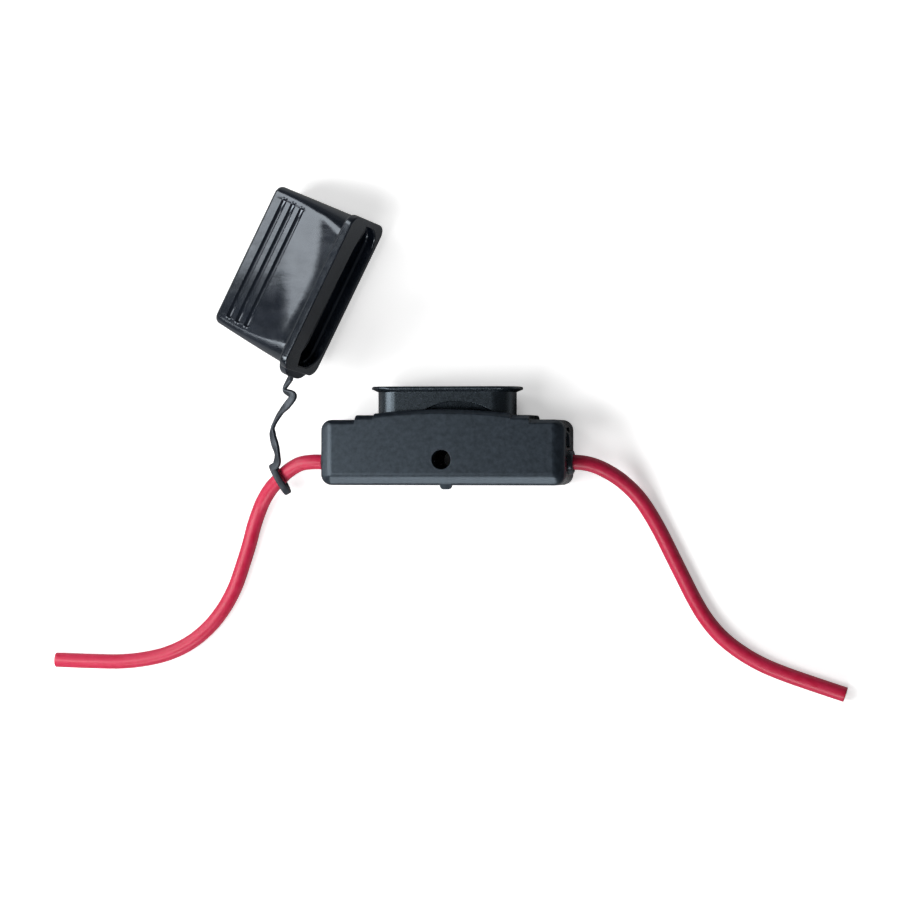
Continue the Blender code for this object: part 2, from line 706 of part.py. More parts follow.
def cap_inside():
    """Rings of the hollow, from the mouth in; a bead snaps under the collar's lip."""
    bead = CAP_HEIGHT - BEAD_FROM_MOUTH
    rings = [cap_ring(CAP_HEIGHT, CAP_WALL - RIM_ROUND), cap_ring(CAP_HEIGHT - RIM_ROUND, CAP_WALL)]
    levels = ((BEAD_FOOT, 0.0), (BEAD_CREST, BEAD_PROUD), (-BEAD_CREST, BEAD_PROUD), (-BEAD_FOOT, 0.0))
    for offset, proud in levels:
        rings.append(cap_ring(bead + offset, CAP_WALL + proud))
    for share in (0.75, 0.5, 0.25):
        rings.append(cap_ring(CAP_END_WALL + (bead - CAP_END_WALL) * share, CAP_WALL))
    rings.append(cap_ring(CAP_END_WALL, CAP_WALL + 0.2))
    return rings


def cap_matrix():
    """Turns the cap's own frame (width, height, thickness) into its place at rest."""
    heading = Matrix.Rotation(math.radians(CAP_HEADING - 90), 4, "Z")
    lift = Matrix.Rotation(math.radians(CAP_LIFT), 4, "X")
    return Matrix.Translation(Vector(CAP_PLACE) * MM) @ heading @ lift


def ring_frame():
    """Centre of the ring, the lead's direction there, and the ring's own more level direction."""
    before, centre, after = (Vector(LEFT_ROUTE[RING_POINT + i]) for i in (-1, 0, 1))
    axis = (after - before).normalized()
    rise = math.radians(RING_RISE)
    level = Matrix.Rotation(math.radians(-RING_TILT), 3, "Z") @ Vector((axis.x, axis.y, 0)).normalized()
    return centre, axis, level * math.cos(rise) + Vector((0, 0, 1)) * math.sin(rise)


def section_corners(width, thickness, cut_off):
    a, b = width / 2, thickness / 2
    return [(a, -b + cut_off), (a, b - cut_off), (a - cut_off, b), (-a + cut_off, b),
            (-a, b - cut_off), (-a, -b + cut_off), (-a + cut_off, -b), (a - cut_off, -b)]


def make_ring():
    centre, _, axis = ring_frame()
    side = axis.cross(Vector((0, 0, 1))).normalized()
    up = side.cross(axis)
    middle = RING_BORE / 2 + RING_WALL / 2
    rings = []
    for i in range(28):
        angle = 2 * math.pi * i / 28
        out = side * math.cos(angle) + up * math.sin(angle)
        rings.append([centre + out * (middle + y) + axis * x
                      for x, y in section_corners(RING_WIDTH, RING_WALL, 0.25)])
    return loft("ring", rings, closed=True)


def make_strap():
    """Flat strap from the tab to the ring, turned about its own line as it runs."""
    centre, _, axis = ring_frame()
    tab = Vector((cap_size(CAP_HEIGHT)[0] / 2 + TAB_REACH / 2, CAP_HEIGHT - TAB_LENGTH / 2, 0))
    root = cap_matrix() @ (tab * MM)
    last = Vector(STRAP_ROUTE[-1][:3])
    out = (last - centre) - axis * (last - centre).dot(axis)
    seat = centre + out.normalized() * (RING_BORE / 2 + RING_WALL * 0.6)
    line = [root / MM] + [Vector(p[:3]) for p in STRAP_ROUTE] + [seat]
    turns = [STRAP_ROUTE[0][3]] + [p[3] for p in STRAP_ROUTE] + [STRAP_ROUTE[-1][3]]
    steps = 4
    curve = smooth_curve(line, steps)
    rings = []
    for i, point in enumerate(curve):
        along = (curve[min(i + 1, len(curve) - 1)] - curve[max(i - 1, 0)]).normalized()
        share = i / steps
        low = min(int(share), len(turns) - 2)
        turn = turns[low] + (turns[low + 1] - turns[low]) * (share - low)
        flat = along.cross(Vector((0, 0, 1))).normalized()
        wide = Matrix.Rotation(math.radians(turn), 3, along) @ flat
        thick = along.cross(wide)
        rings.append([point + wide * x + thick * y
                      for x, y in section_corners(STRAP_WIDTH, STRAP_THICKNESS, 0.2)])
    return loft("strap", rings)


def make_cap(material):
    """Cap, tab, strap and ring in one moulding, with its origin on the lead that it turns round."""
    shell = loft("cap", cap_outside())
    width = cap_size(CAP_HEIGHT)[0] / 2
    tab_low, tab_high = CAP_HEIGHT - TAB_LENGTH, CAP_HEIGHT - 0.15
    root, tip, half = width - TAB_ROOT, width + TAB_REACH, TAB_WIDTH / 2
    tab = outline([(root, -half, 0), (tip, -half, TAB_CORNER), (tip, half, TAB_CORNER), (root, half, 0)])
    join(shell, loft("tab", [at_y(tab, tab_low), at_y(tab, tab_high)]))
    hollow = cap_inside()
    beyond = [Vector((p.x, CAP_HEIGHT + 0.5, p.z)) for p in hollow[0]]
    cut(shell, loft("hollow", [beyond] + hollow))
    shell.data.transform(cap_matrix())
    join(shell, make_strap(), make_ring())
    centre = ring_frame()[0] * MM
    shell.data.transform(Matrix.Translation(-centre))
    shell.location = centre
    return finish(shell, "cap", material)


def build():
    clear_scene()
    housing_black = make_material("housing_black", (0.030, 0.034, 0.040), 0.55)
    cover_black = make_material("cover_black", (0.034, 0.038, 0.044), 0.62)
    cap_black = make_material("cap_black", (0.018, 0.021, 0.026), 0.32)
    tin = make_material("terminal_tin", (0.72, 0.70, 0.66), 0.30, 1.0)
    copper = make_material("conductor_copper", (0.80, 0.42, 0.26), 0.35, 1.0)
    red = make_material("lead_red", (0.70, 0.03, 0.08), 0.40)
    make_housing(housing_black)
    make_cover(cover_black)
    make_cap(cap_black)
    for side, name, route in ((-1, "left", LEFT_ROUTE), (1, "right", RIGHT_ROUTE)):
        make_terminal(side, name + "_terminal", tin)
        make_conductor(side, name + "_conductor", copper)
        make_lead(name + "_lead", route, red)


build()
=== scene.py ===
"""Looks of an inline fuse holder with its cap off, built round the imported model.

Sizes are in millimetres and are turned into metres where a mesh is made. X runs along the
housing, Y towards the mouth of the fuse socket, and Z up, out of the front cover.
"""

import math
import random

import bmesh
import bpy
from mathutils import Matrix, Vector


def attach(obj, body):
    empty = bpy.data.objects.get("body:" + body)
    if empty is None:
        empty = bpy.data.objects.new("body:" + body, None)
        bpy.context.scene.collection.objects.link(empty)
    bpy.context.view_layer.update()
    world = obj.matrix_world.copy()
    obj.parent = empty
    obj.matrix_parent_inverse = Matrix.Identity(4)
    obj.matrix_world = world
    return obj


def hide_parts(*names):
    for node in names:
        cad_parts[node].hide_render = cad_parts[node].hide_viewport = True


MM = 0.001
SEED = 7

# Steps of circles, curves and quarter rounds, the angle from which an edge is sharp, and how far
# a cutter reaches past a face or a joined piece into its neighbour
ROUND_SIDES = 64
CURVE_STEPS = 12
ROUND_STEPS = 8
SHARP_ANGLE = 35.0
OVERLAP = 0.5

# Blade fuse that the socket takes, and the room it has there
POCKET_WIDTH = 19.8
POCKET_THICKNESS = 5.8
POCKET_CORNER = 0.6
POCKET_LEAD_IN = 0.35
FUSE_SEAT = 2.6
BLADE_X = 6.75
SLOT_WIDTH = 5.8
SLOT_THICKNESS = 1.3

# Housing and cover together
HALF_LENGTH = 23.0
BODY_BOTTOM = -9.2
BODY_TOP = 3.0
BODY_THICKNESS = 13.8
MIDDLE_Z = BODY_THICKNESS / 2
BODY_CORNER = 2.0
BODY_CORNER_LEAST = 0.3
BACK_EDGE = 1.4
WALL = 1.5
BACK_WALL = 1.6
TOP_WALL = 1.4
CAVITY_CORNER = 1.0
COVER_BACK = 11.8
SHELL_FRONT = 11.5

# Cover's bevel: drop and inset from its side to its face, and the share of the inset that the
# guard and the upper edge take; then the pad under the collar and the guard in front of it, whose
# crown has a point at each step of its half length
EDGE_PROFILE = ((1.60, 0.0), (1.38, 0.02), (1.18, 0.08), (0.98, 0.20), (0.82, 0.38), (0.28, 1.34),
                (0.16, 1.58), (0.07, 1.84), (0.02, 2.10), (0.0, 2.36), (0.0, 2.5))
GUARD_EDGE_SHARE = 0.4
TOP_EDGE_SHARE = 0.4
PAD_HALF = 16.4
PAD_TOP = 3.85
PAD_FOOT_ROUND = 0.2
PAD_ROUND = 0.25
GUARD_HALF = 12.9
GUARD_TOP = 4.15
GUARD_FOOT_ROUND = 0.15
GUARD_ROUND = 0.2
GUARD_CROWN = 0.75
GUARD_STEP = 0.05

# Collar round the fuse socket, its lip, and the recess in it behind the guard; a round is drop and
# inset pairs
COLLAR_LENGTH = 26.0
COLLAR_THICKNESS = 9.0
COLLAR_CORNER = 4.0
COLLAR_TOP = 9.2
COLLAR_STEPS = 16
COLLAR_FILLET = 0.3
ROOT_DEPTH = 0.7
LIP_HEIGHT = 1.0
LIP_END_REACH = 1.1
LIP_SIDE_REACH = 0.8
LIP_UNDERCUT = 0.5
LIP_ROUND = ((0.34, 0.0), (0.16, 0.05), (0.05, 0.16), (0.0, 0.34))
RECESS_MIDDLE = 2.6
RECESS_REACH = 8.0
RECESS_TOP = 6.5
RECESS_FOOT = GUARD_TOP - 0.4
RECESS_DEPTH = 1.0
RECESS_STEPS = 12

# Snap hooks, screw hole and pry tab
HOOK_BOTTOM = -1.9
HOOK_TOP = 1.2
HOOK_FACE = 10.0
HOOK_LENGTH = 3.2
HOOK_TIP = 23.5
HOOK_ROUND = 1.7
HOOK_ARM = 1.0
HOOK_PLAY = 0.4
WINDOW_PLAY = 0.3
SCREW_Y = -4.4
SCREW_BORE = 3.6
SCREW_TUBE = 5.6
PRY_TAB_X = 0.7
PRY_TAB_WIDTH = 2.2
PRY_TAB_REACH = 0.75
PRY_TAB_ROUND = 0.7
PRY_TAB_HEIGHT = 1.1

# Leads and the outlets that they leave by
LEAD_DIAMETER = 2.8
LEAD_BORE = 3.4
LEAD_Y = -4.9
LEAD_START = 15.2
OUTLET_DIAMETER = 4.6
OUTLET_END = 23.9
OUTLET_CHAMFER = 0.4
LEAD_SIDES = 32
LEAD_SPACING = 0.6
DRAWN_LENGTH = 100.0

# Cut end of a lead: how far back each ring of its edge lies, and how much smaller it is than the
# lead, or larger than the core; the strands end unevenly, between the last two values
CORE_DIAMETER = 1.85
CORE_DEPTH = 2.6
CORE_PLAY = 0.02
LEAD_CUT = ((0.10, 0.0), (0.03, 0.03), (0.0, 0.10))
CORE_CUT = ((0.0, 0.06), (0.06, 0.0), (CORE_DEPTH, 0.0))
STRAND_DIAMETER = 0.36
STRAND_TWIST = 0.35
STRAND_SIDES = 10
STRAND_STEPS = 6
STRAND_CUT = (-0.12, 0.06)

# Cap with its rim and grooves, then tab, strap and ring. The rim's foot is height and share of how
# proud it stands, its round is drop and inset, and its upper side reaches farther by the near edge.
# At its ends a groove deepens over the slope, given as shares of the slope and of its depth.
CAP_HEIGHT = 19.05
CAP_WALL = 1.0
CAP_END_WIDTH = 28.5
CAP_MOUTH_WIDTH = 30.9
CAP_END_THICKNESS = 8.7
CAP_MOUTH_THICKNESS = 13.3
CAP_END_WALL = 1.3
CAP_CORNER = 1.6
CAP_MOUTH_CORNER = 5.0
CAP_CORNER_FLARE = 2.5
CAP_END_ROUND = 1.0
CAP_FLARE = 1.3
CAP_CORNER_STEPS = 12
CAP_WALL_STEPS = 16
HOLLOW_STEPS = 12
RIM_HEIGHT = 1.1
NEAR_EDGE = 0.8
NEAR_FADE = 5.0
RIM_PROUD = 0.3
RIM_CORNER = 2.2
RIM_FOOT = ((0.06, 0.2), (0.16, 0.6), (0.26, 0.9), (0.4, 1.0))
RIM_ROUND = ((0.24, 0.0), (0.1, 0.04), (0.03, 0.12), (0.0, 0.26))
BEAD_FROM_MOUTH = 2.0
BEAD_PROUD = 0.2
BEAD_HALF = 0.6
BEAD_STEPS = 8
GROOVE_PLACES = (3.2, 5.5, 7.8)
GROOVE_WIDTH = 1.3
GROOVE_DEPTH = 0.45
GROOVE_END = 0.4
GROOVE_SLOPE = 0.4
GROOVE_SLOPE_POINTS = ((0.0, 0.0), (0.3, 0.25), (0.7, 0.8), (1.0, 1.0))
GROOVE_STEPS = 12
TAB_WIDTH = 9.6
TAB_LENGTH = 1.8
TAB_REACH = 1.6
TAB_ROOT = 2.0
TAB_CORNER = 3.4
CAP_PLACE = (-37.61, 34.2, 3.99)
CAP_HEADING = -26.3
CAP_LIFT = 17.4
STRAP_WIDTH = 1.5
STRAP_THICKNESS = 0.8
STRAP_ROUND = 0.3
RING_BORE = 4.8
RING_WALL = 0.9
RING_WIDTH = 1.3
RING_ROUND = 0.28
RING_TILT = 11.0
RING_RISE = 6.0
RING_STEPS = 72

# Route points of the leads, from the crimp to the cut end, and the one at which the ring sits
FLOOR_LINE = LEAD_DIAMETER / 2 + 0.01
LEFT_ROUTE = (
    (-LEAD_START, LEAD_Y, 6.9),
    (-19.5, LEAD_Y, 6.9),
    (-23.6, LEAD_Y, 6.9),
    (-26.0, -4.9, 6.85),
    (-28.4, -5.3, 6.5),
    (-30.8, -6.6, 5.8),
    (-32.6, -8.1, 4.9),
    (-34.4, -9.7, 3.9),
    (-35.9, -11.6, 2.9),
    (-37.1, -13.7, 2.1),
    (-38.4, -17.0, 1.55),
    (-39.4, -20.6, FLOOR_LINE),
    (-40.7, -24.7, FLOOR_LINE),
    (-42.3, -29.1, FLOOR_LINE),
    (-44.6, -33.2, FLOOR_LINE),
    (-47.6, -36.8, FLOOR_LINE),
    (-51.3, -39.7, FLOOR_LINE),
    (-55.6, -41.7, FLOOR_LINE),
    (-60.2, -42.8, FLOOR_LINE),
    (-64.9, -43.3, FLOOR_LINE),
    (-70.0, -43.3, FLOOR_LINE),
    (-74.5, -43.2, FLOOR_LINE),
    (-77.7, -43.1, FLOOR_LINE),
)
RING_POINT = 6
RIGHT_ROUTE = (
    (LEAD_START, LEAD_Y, 6.9),
    (19.5, LEAD_Y, 6.9),
    (23.7, LEAD_Y, 6.9),
    (26.0, -5.1, 6.8),
    (28.1, -5.7, 6.4),
    (30.1, -6.7, 5.7),
    (31.9, -7.9, 4.7),
    (33.5, -9.3, 3.7),
    (35.0, -10.9, 2.8),
    (36.4, -12.8, 2.0),
    (38.0, -15.4, 1.55),
    (39.7, -18.5, FLOOR_LINE),
    (41.7, -22.5, FLOOR_LINE),
    (43.7, -26.5, FLOOR_LINE),
    (45.8, -30.6, FLOOR_LINE),
    (48.1, -34.3, FLOOR_LINE),
    (51.0, -37.6, FLOOR_LINE),
    (54.5, -40.3, FLOOR_LINE),
    (58.4, -42.5, FLOOR_LINE),
    (62.6, -44.2, FLOOR_LINE),
    (66.7, -45.6, FLOOR_LINE),
    (71.0, -47.0, FLOOR_LINE),
    (73.8, -47.9, FLOOR_LINE),
)

# Strap: where it runs from the tab to the ring, and the turn of its flat side there
STRAP_ROUTE = (
    (-29.9, 10.9, 7.9, 50),
    (-31.1, 8.7, 7.5, 75),
    (-29.3, 7.6, 8.3, 10),
    (-30.3, 6.0, 8.2, 15),
    (-31.8, 4.4, 7.8, 60),
    (-33.2, 1.9, 7.8, 80),
    (-33.3, 0.2, 7.9, 40),
    (-32.9, -1.4, 8.0, 20),
    (-32.4, -3.4, 7.9, 55),
    (-32.6, -5.1, 7.4, 20),
)

# Sink of the cap's upper face, as the normal's turn. To the right it starts at a bent edge; the
# left and lower stretches fade out between two values of X or Y. Only what faces that way turns.
SINK_START = Vector((-23.3, 36.2))
SINK_BEND = 0.0243
SINK_FADE = (-0.5, 1.2)
SINK_LEFT = (-31.0, -28.3)
SINK_LEFT_LOW = (24.0, 32.0)
SINK_LEFT_LEAST = 0.25
SINK_LOWER = (18.0, 22.0)
SINK_FACE = Vector((-0.394, 0.215, 0.893))
SINK_FACING = (0.9, 0.97)
SINK_TURN = Vector((-0.043, -0.101, 0.0))

# The strap and the ring are duller than the cap, which starts between these values of Y
STRAP_ROUGHNESS = 0.5
STRAP_BLEND = (10.0, 14.0)

# Camera: where it looks, how far off it stands, and the photograph's scale there; the clip
# distances are in metres
IMAGE_SIZE = 900
PIXEL = 0.185
CAMERA_DISTANCE = 600.0
CAMERA_YAW = 10.0
CAMERA_TARGET = (1.69, -2.64, 13.8)
SENSOR = 36.0
CAMERA_CLIP = (0.05, 10.0)

# Studio: the radii and the wall's foot and top are in metres
STUDIO_RADIUS = 4.0
STUDIO_SIDES = 64
WALL_RADIUS = STUDIO_RADIUS * 0.98
WALL_ENDS = (-0.01, 0.9)
FLOOR_GAP = 0.02

# Paper: how far round a point its shade is looked for, and the shares of open sky that count as none and as
# all, for the camera down a hole and for mirrored light at the foot of a wall, where the paper's glow fades
# from reflections as a painted shade
SHADE_SAMPLES = 8
HOLE_REACH = 15.0
HOLE_OPEN = (0.12, 0.28)
WALL_REACH = 45.0
WALL_OPEN = (0.8, 1.0)
PAPER_COLOUR = 0.95
PAPER_GLOW = 0.48
# Share of the paper's colour and glow that reflections see: a painted shade that dims the paper in every
# reflection
PAPER_MIRROR = 0.35
SKY_STRENGTH = 0.08

# Softboxes: name, direction from the object, distance, width, height, and brightness against paper
SOFTBOXES = (
    ("key", (-0.48, -0.22, 0.85), 350, 150, 150, 7.5),
    ("cap_box", (-0.74, 0.50, 0.45), 400, 150, 280, 4.5),
    ("left_box", (-0.80, -0.07, 0.60), 300, 65, 160, 9.5),
    ("front_box", (-0.08, -0.84, 0.54), 350, 220, 90, 9.0),
)

# Sockets of a Mix node that take and give colours
MIX_FIRST = 6
MIX_SECOND = 7
MIX_RESULT = 2


def outline(corners, steps=10):
    """A closed outline with its corners rounded; each corner is x, y and radius."""
    points = []
    count = len(corners)
    for i, (x, y, radius) in enumerate(corners):
        here = Vector((x, y))
        if radius <= 0:
            points.append(here)
            continue
        back = (Vector(corners[i - 1][:2]) - here).normalized()
        on = (Vector(corners[(i + 1) % count][:2]) - here).normalized()
        half = back.angle(on) / 2
        centre = here + (back + on).normalized() * (radius / math.sin(half))
        start = here + back * (radius / math.tan(half)) - centre
        end = here + on * (radius / math.tan(half)) - centre
        turn = start.angle_signed(end)
        for step in range(steps + 1):
            points.append(centre + Matrix.Rotation(-turn * step / steps, 2) @ start)
    return points


def rectangle(width, height, radius, x=0.0, y=0.0, steps=10):
    a, b = width / 2, height / 2
    return outline([(x - a, y - b, radius), (x + a, y - b, radius),
                    (x + a, y + b, radius), (x - a, y + b, radius)], steps)


def circle(diameter, x, y):
    turns = [2 * math.pi * i / ROUND_SIDES for i in range(ROUND_SIDES)]
    return [Vector((x + diameter / 2 * math.cos(t), y + diameter / 2 * math.sin(t))) for t in turns]


def at_z(points, z):
    return [Vector((p.x, p.y, z)) for p in points]


def at_y(points, y):
    """Points of an outline drawn in X and Z."""
    return [Vector((p.x, y, p.y)) for p in points]


def at_x(points, x):
    """Points of an outline drawn in Y and Z."""
    return [Vector((x, p.x, p.y)) for p in points]


def new_object(name, shape):
    bmesh.ops.recalc_face_normals(shape, faces=shape.faces)
    mesh = bpy.data.meshes.new(name)
    shape.to_mesh(mesh)
    shape.free()
    item = bpy.data.objects.new(name, mesh)
    bpy.context.scene.collection.objects.link(item)
    return item


def add_rings(shape, rings, closed=False):
    """Adds a solid through rings of equally many points, and gives its walls, a list for each step.

    Its ends are flat unless it closes on itself.
    """
    rows = [[shape.verts.new(point * MM) for point in ring] for ring in rings]
    pairs = list(zip(rows, rows[1:]))
    if closed:
        pairs.append((rows[-1], rows[0]))
    else:
        shape.faces.new(rows[0])
        shape.faces.new(rows[-1])
    walls = []
    for low, high in pairs:
        following = low[1:] + low[:1]
        above = high[1:] + high[:1]
        walls.append([shape.faces.new(corners) for corners in zip(low, following, above, high)])
    return walls


def loft(name, rings, closed=False):
    """A solid through rings, as an object."""
    shape = bmesh.new()
    add_rings(shape, rings, closed)
    return new_object(name, shape)


def block(x0, x1, y0, y1, z0, z1):
    corners = [Vector((x0, y0)), Vector((x1, y0)), Vector((x1, y1)), Vector((x0, y1))]
    return loft("block", [at_z(corners, z0), at_z(corners, z1)])


def outlet_rod(diameter, x0, x1):
    """A rod on the line by which the leads leave the housing."""
    ring = circle(diameter, LEAD_Y, MIDDLE_Z)
    return loft("rod", [at_x(ring, x0), at_x(ring, x1)])


def screw_rod(diameter, z0, z1):
    """A rod on the screw hole's axis."""
    ring = circle(diameter, 0, SCREW_Y)
    return loft("rod", [at_z(ring, z0), at_z(ring, z1)])


def bake_modifiers(item):
    bpy.context.view_layer.update()
    graph = bpy.context.evaluated_depsgraph_get()
    mesh = bpy.data.meshes.new_from_object(item.evaluated_get(graph))
    item.modifiers.clear()
    item.data = mesh


def combine(target, tools, operation):
    """Joins tools to a solid or cuts them from it, and removes them."""
    for tool in tools:
        modifier = target.modifiers.new(operation, "BOOLEAN")
        modifier.operation = operation
        modifier.solver = "EXACT"
        modifier.object = tool
    bake_modifiers(target)
    for tool in tools:
        bpy.data.objects.remove(tool)
    return target


def join(target, *tools):
    return combine(target, tools, "UNION")


def cut(target, *tools):
    return combine(target, tools, "DIFFERENCE")


def soften(item, width=0.1, segments=2):
    """Rounds every sharp edge."""
    shape = bmesh.new()
    shape.from_mesh(item.data)
    bmesh.ops.remove_doubles(shape, verts=shape.verts, dist=0.002 * MM)
    bmesh.ops.dissolve_limit(shape, angle_limit=math.radians(0.4), verts=shape.verts, edges=shape.edges)
    shape.to_mesh(item.data)
    shape.free()
    bevel = item.modifiers.new("edges", "BEVEL")
    bevel.width = width * MM
    bevel.segments = segments
    bevel.limit_method = "ANGLE"
    bevel.angle_limit = math.radians(SHARP_ANGLE)
    bevel.use_clamp_overlap = False
    bake_modifiers(item)
    return item


def smooth_curve(points):
    """A smooth curve through route points, as many close points."""
    points = [Vector(p) for p in points]
    ends = [points[0] * 2 - points[1]] + points + [points[-1] * 2 - points[-2]]
    curve = []
    for a, b, c, d in zip(ends, ends[1:], ends[2:], ends[3:]):
        for step in range(CURVE_STEPS):
            t = step / CURVE_STEPS
            curve.append(0.5 * (2 * b + (c - a) * t + (2 * a - 5 * b + 4 * c - d) * t ** 2
                                + (3 * b - a - 3 * c + d) * t ** 3))
    curve.append(points[-1])
    return curve


def spaced(curve, spacing):
    """Points read from a curve at equal steps of about the spacing."""
    along = [0.0]
    for a, b in zip(curve, curve[1:]):
        along.append(along[-1] + (b - a).length)
    count = math.ceil(along[-1] / spacing)
    picked, i = [], 0
    for step in range(count + 1):
        want = along[-1] * step / count
        while i < len(curve) - 2 and along[i + 1] < want:
            i += 1
        share = (want - along[i]) / (along[i + 1] - along[i])
        picked.append(curve[i].lerp(curve[i + 1], min(share, 1.0)))
    return picked


def dress(item, name, body, material, nodes=(), sharp=SHARP_ANGLE):
    """Names a finished piece, gives it its material and says what it rides on and replaces."""
    item.name = name
    item.data.name = name
    item.data.materials.clear()
    item.data.materials.append(material)
    item.data.shade_smooth()
    item.data.set_sharp_from_angle(angle=math.radians(sharp))
    normals = item.modifiers.new("normals", "WEIGHTED_NORMAL")
    normals.keep_sharp = True
    bake_modifiers(item)
    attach(item, body)
    if nodes:
        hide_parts(*nodes)
    return item


class Shading:
    """A material whose nodes are added and linked by name."""

    def __init__(self, name):
        self.material = bpy.data.materials.new(name)
        self.material.use_nodes = True
        self.tree = self.material.node_tree

    def put(self, value, socket):
        """Links a socket to an input, or sets the input to a value."""
        if isinstance(value, bpy.types.NodeSocket):
            self.tree.links.new(value, socket)
        else:
            socket.default_value = value

    def add(self, kind, operation=None, **inputs):
        node = self.tree.nodes.new(kind)
        if operation:
            node.operation = operation
        for name, value in inputs.items():
            self.put(value, node.inputs[name.replace("_", " ")])
        return node

    def maths(self, operation, first, second):
        node = self.add("ShaderNodeMath", operation)
        self.put(first, node.inputs[0])
        self.put(second, node.inputs[1])
        return node.outputs[0]

    def vector_maths(self, operation, first, second):
        node = self.add("ShaderNodeVectorMath", operation)
        self.put(first, node.inputs[0])
        self.put(second, node.inputs[1])
        return node.outputs["Value" if operation == "DOT_PRODUCT" else "Vector"]

    def between(self, factor, low, high, from_low=0.3, from_high=0.7):
        """A number that runs from low to high as the factor goes from one value to another."""
        node = self.add("ShaderNodeMapRange", Value=factor, From_Min=from_low, From_Max=from_high,
                        To_Min=low, To_Max=high)
        return node.outputs["Result"]


class Surface(Shading):
    """A Principled material, with patterns in the object's own coordinates."""

    def __init__(self, name, colour, roughness, metallic=0.0, specular=0.5, tint=None):
        super().__init__(name)
        self.shader = self.tree.nodes["Principled BSDF"]
        self.shader.inputs["Base Color"].default_value = (*colour, 1.0)
        self.shader.inputs["Roughness"].default_value = roughness
        self.shader.inputs["Metallic"].default_value = metallic
        self.shader.inputs["Specular IOR Level"].default_value = specular
        if tint:
            self.shader.inputs["Specular Tint"].default_value = (*tint, 1.0)
        self.place = self.add("ShaderNodeTexCoord").outputs["Object"]

    def noise(self, scale, detail=3.0, rough=0.5, place=None):
        """Noise with features of 1 / scale metres."""
        node = self.add("ShaderNodeTexNoise", Vector=place or self.place, Scale=scale, Detail=detail,
                        Roughness=rough)
        return node.outputs["Fac"]

    def stretched(self, scale, source=None):
        """Coordinates in which a noise of scale one has so many features a metre on each axis."""
        return self.add("ShaderNodeMapping", Vector=source or self.place, Scale=scale).outputs["Vector"]

    def mixed(self, factor, first, second):
        """A colour that runs from the first to the second as the factor goes from nought to one."""
        node = self.tree.nodes.new("ShaderNodeMix")
        node.data_type = "RGBA"
        self.put(factor, node.inputs["Factor"])
        node.inputs[MIX_FIRST].default_value = (*first, 1.0)
        node.inputs[MIX_SECOND].default_value = (*second, 1.0)
        return node.outputs[MIX_RESULT]

    def bump(self, height, depth, strength=1.0, under=None):
        """Bump of a depth in millimetres, on another bump if one is given."""
        node = self.add("ShaderNodeBump", Height=height, Strength=strength, Distance=depth * MM)
        if under:
            self.tree.links.new(under, node.inputs["Normal"])
        return node.outputs["Normal"]

    def colour(self, value):
        self.put(value, self.shader.inputs["Base Color"])

    def roughness(self, value):
        self.put(value, self.shader.inputs["Roughness"])

    def normal(self, value):
        self.put(value, self.shader.inputs["Normal"])


def moulded_black(name, dark, light, roughness, specular, grain):
    """Black plastic from a spark-eroded mould: a mottle of fine grain with faint clouds."""
    # Reflections are tinted blue: a painted colour in place of bluish light
    surface = Surface(name, dark, roughness, specular=specular, tint=(0.72, 0.87, 1.0))
    clouds = surface.noise(260.0, detail=4.0, rough=0.6)
    mottle = surface.noise(1150.0, detail=3.0, rough=0.65)
    both = surface.maths("ADD", surface.maths("MULTIPLY", clouds, 0.35), mottle)
    surface.colour(surface.mixed(surface.between(both, 0.0, 1.0, 0.5, 0.85), dark, light))
    surface.roughness(surface.between(mottle, roughness - 0.03, roughness + 0.03))
    coarse = surface.bump(mottle, grain)
    surface.normal(surface.bump(surface.noise(5200.0, detail=2.0), grain * 0.2, under=coarse))
    return surface.material


def sunken(surface):
    """Normal of the cap's upper face, turned a little where the wall has sunk beside rim and corner."""
    x, y, _ = surface.add("ShaderNodeSeparateXYZ", Vector=surface.place).outputs
    across, along = (surface.maths("MULTIPLY", value, 1 / MM) for value in (x, y))
    below = surface.maths("MAXIMUM", surface.maths("SUBTRACT", SINK_START.y, along), 0.0)
    edge = surface.maths("MULTIPLY", surface.maths("MULTIPLY", below, below), -SINK_BEND)
    beside = surface.maths("SUBTRACT", surface.maths("SUBTRACT", across, SINK_START.x), edge)
    right = surface.between(beside, 0.0, 1.0, *SINK_FADE)
    left = surface.between(across, 1.0, 0.0, *SINK_LEFT)
    left = surface.maths("MULTIPLY", left, surface.between(along, 1.0, SINK_LEFT_LEAST, *SINK_LEFT_LOW))
    lower = surface.between(along, 1.0, 0.0, *SINK_LOWER)
    amount = surface.maths("MAXIMUM", surface.maths("MAXIMUM", right, left), lower)
    normal = surface.add("ShaderNodeNewGeometry").outputs["Normal"]
    facing = surface.vector_maths("DOT_PRODUCT", normal, SINK_FACE)
    amount = surface.maths("MULTIPLY", amount, surface.between(facing, 0.0, 1.0, *SINK_FACING))
    turned = surface.add("ShaderNodeVectorMath", "SCALE", Vector=SINK_TURN, Scale=amount)
    total = surface.vector_maths("ADD", normal, turned.outputs["Vector"])
    return surface.add("ShaderNodeVectorMath", "NORMALIZE", Vector=total).outputs["Vector"]


def satin_black(name, dark, light, roughness, specular):
    """Black polypropylene with a satin skin, sunken walls, flow marks and a few scuffs."""
    # Reflections are tinted blue: a painted colour in place of bluish light
    surface = Surface(name, dark, roughness, specular=specular, tint=(0.82, 0.91, 1.0))
    flow = surface.noise(1.0, 4.0, 0.55, surface.stretched((120.0, 300.0, 220.0)))
    surface.colour(surface.mixed(surface.between(flow, 0.0, 1.0), dark, light))
    worn = surface.between(surface.noise(380.0, detail=5.0, rough=0.65), roughness - 0.03, roughness + 0.05)
    height = surface.add("ShaderNodeSeparateXYZ", Vector=surface.place).outputs["Y"]
    low, high = (place * MM for place in STRAP_BLEND)
    strap = surface.between(height, STRAP_ROUGHNESS, 0.0, low, high)
    surface.roughness(surface.maths("MAXIMUM", worn, strap))
    waves = surface.bump(flow, 0.05, under=sunken(surface))
    surface.normal(surface.bump(surface.noise(3600.0, detail=2.0), 0.004, under=waves))
    return surface.material


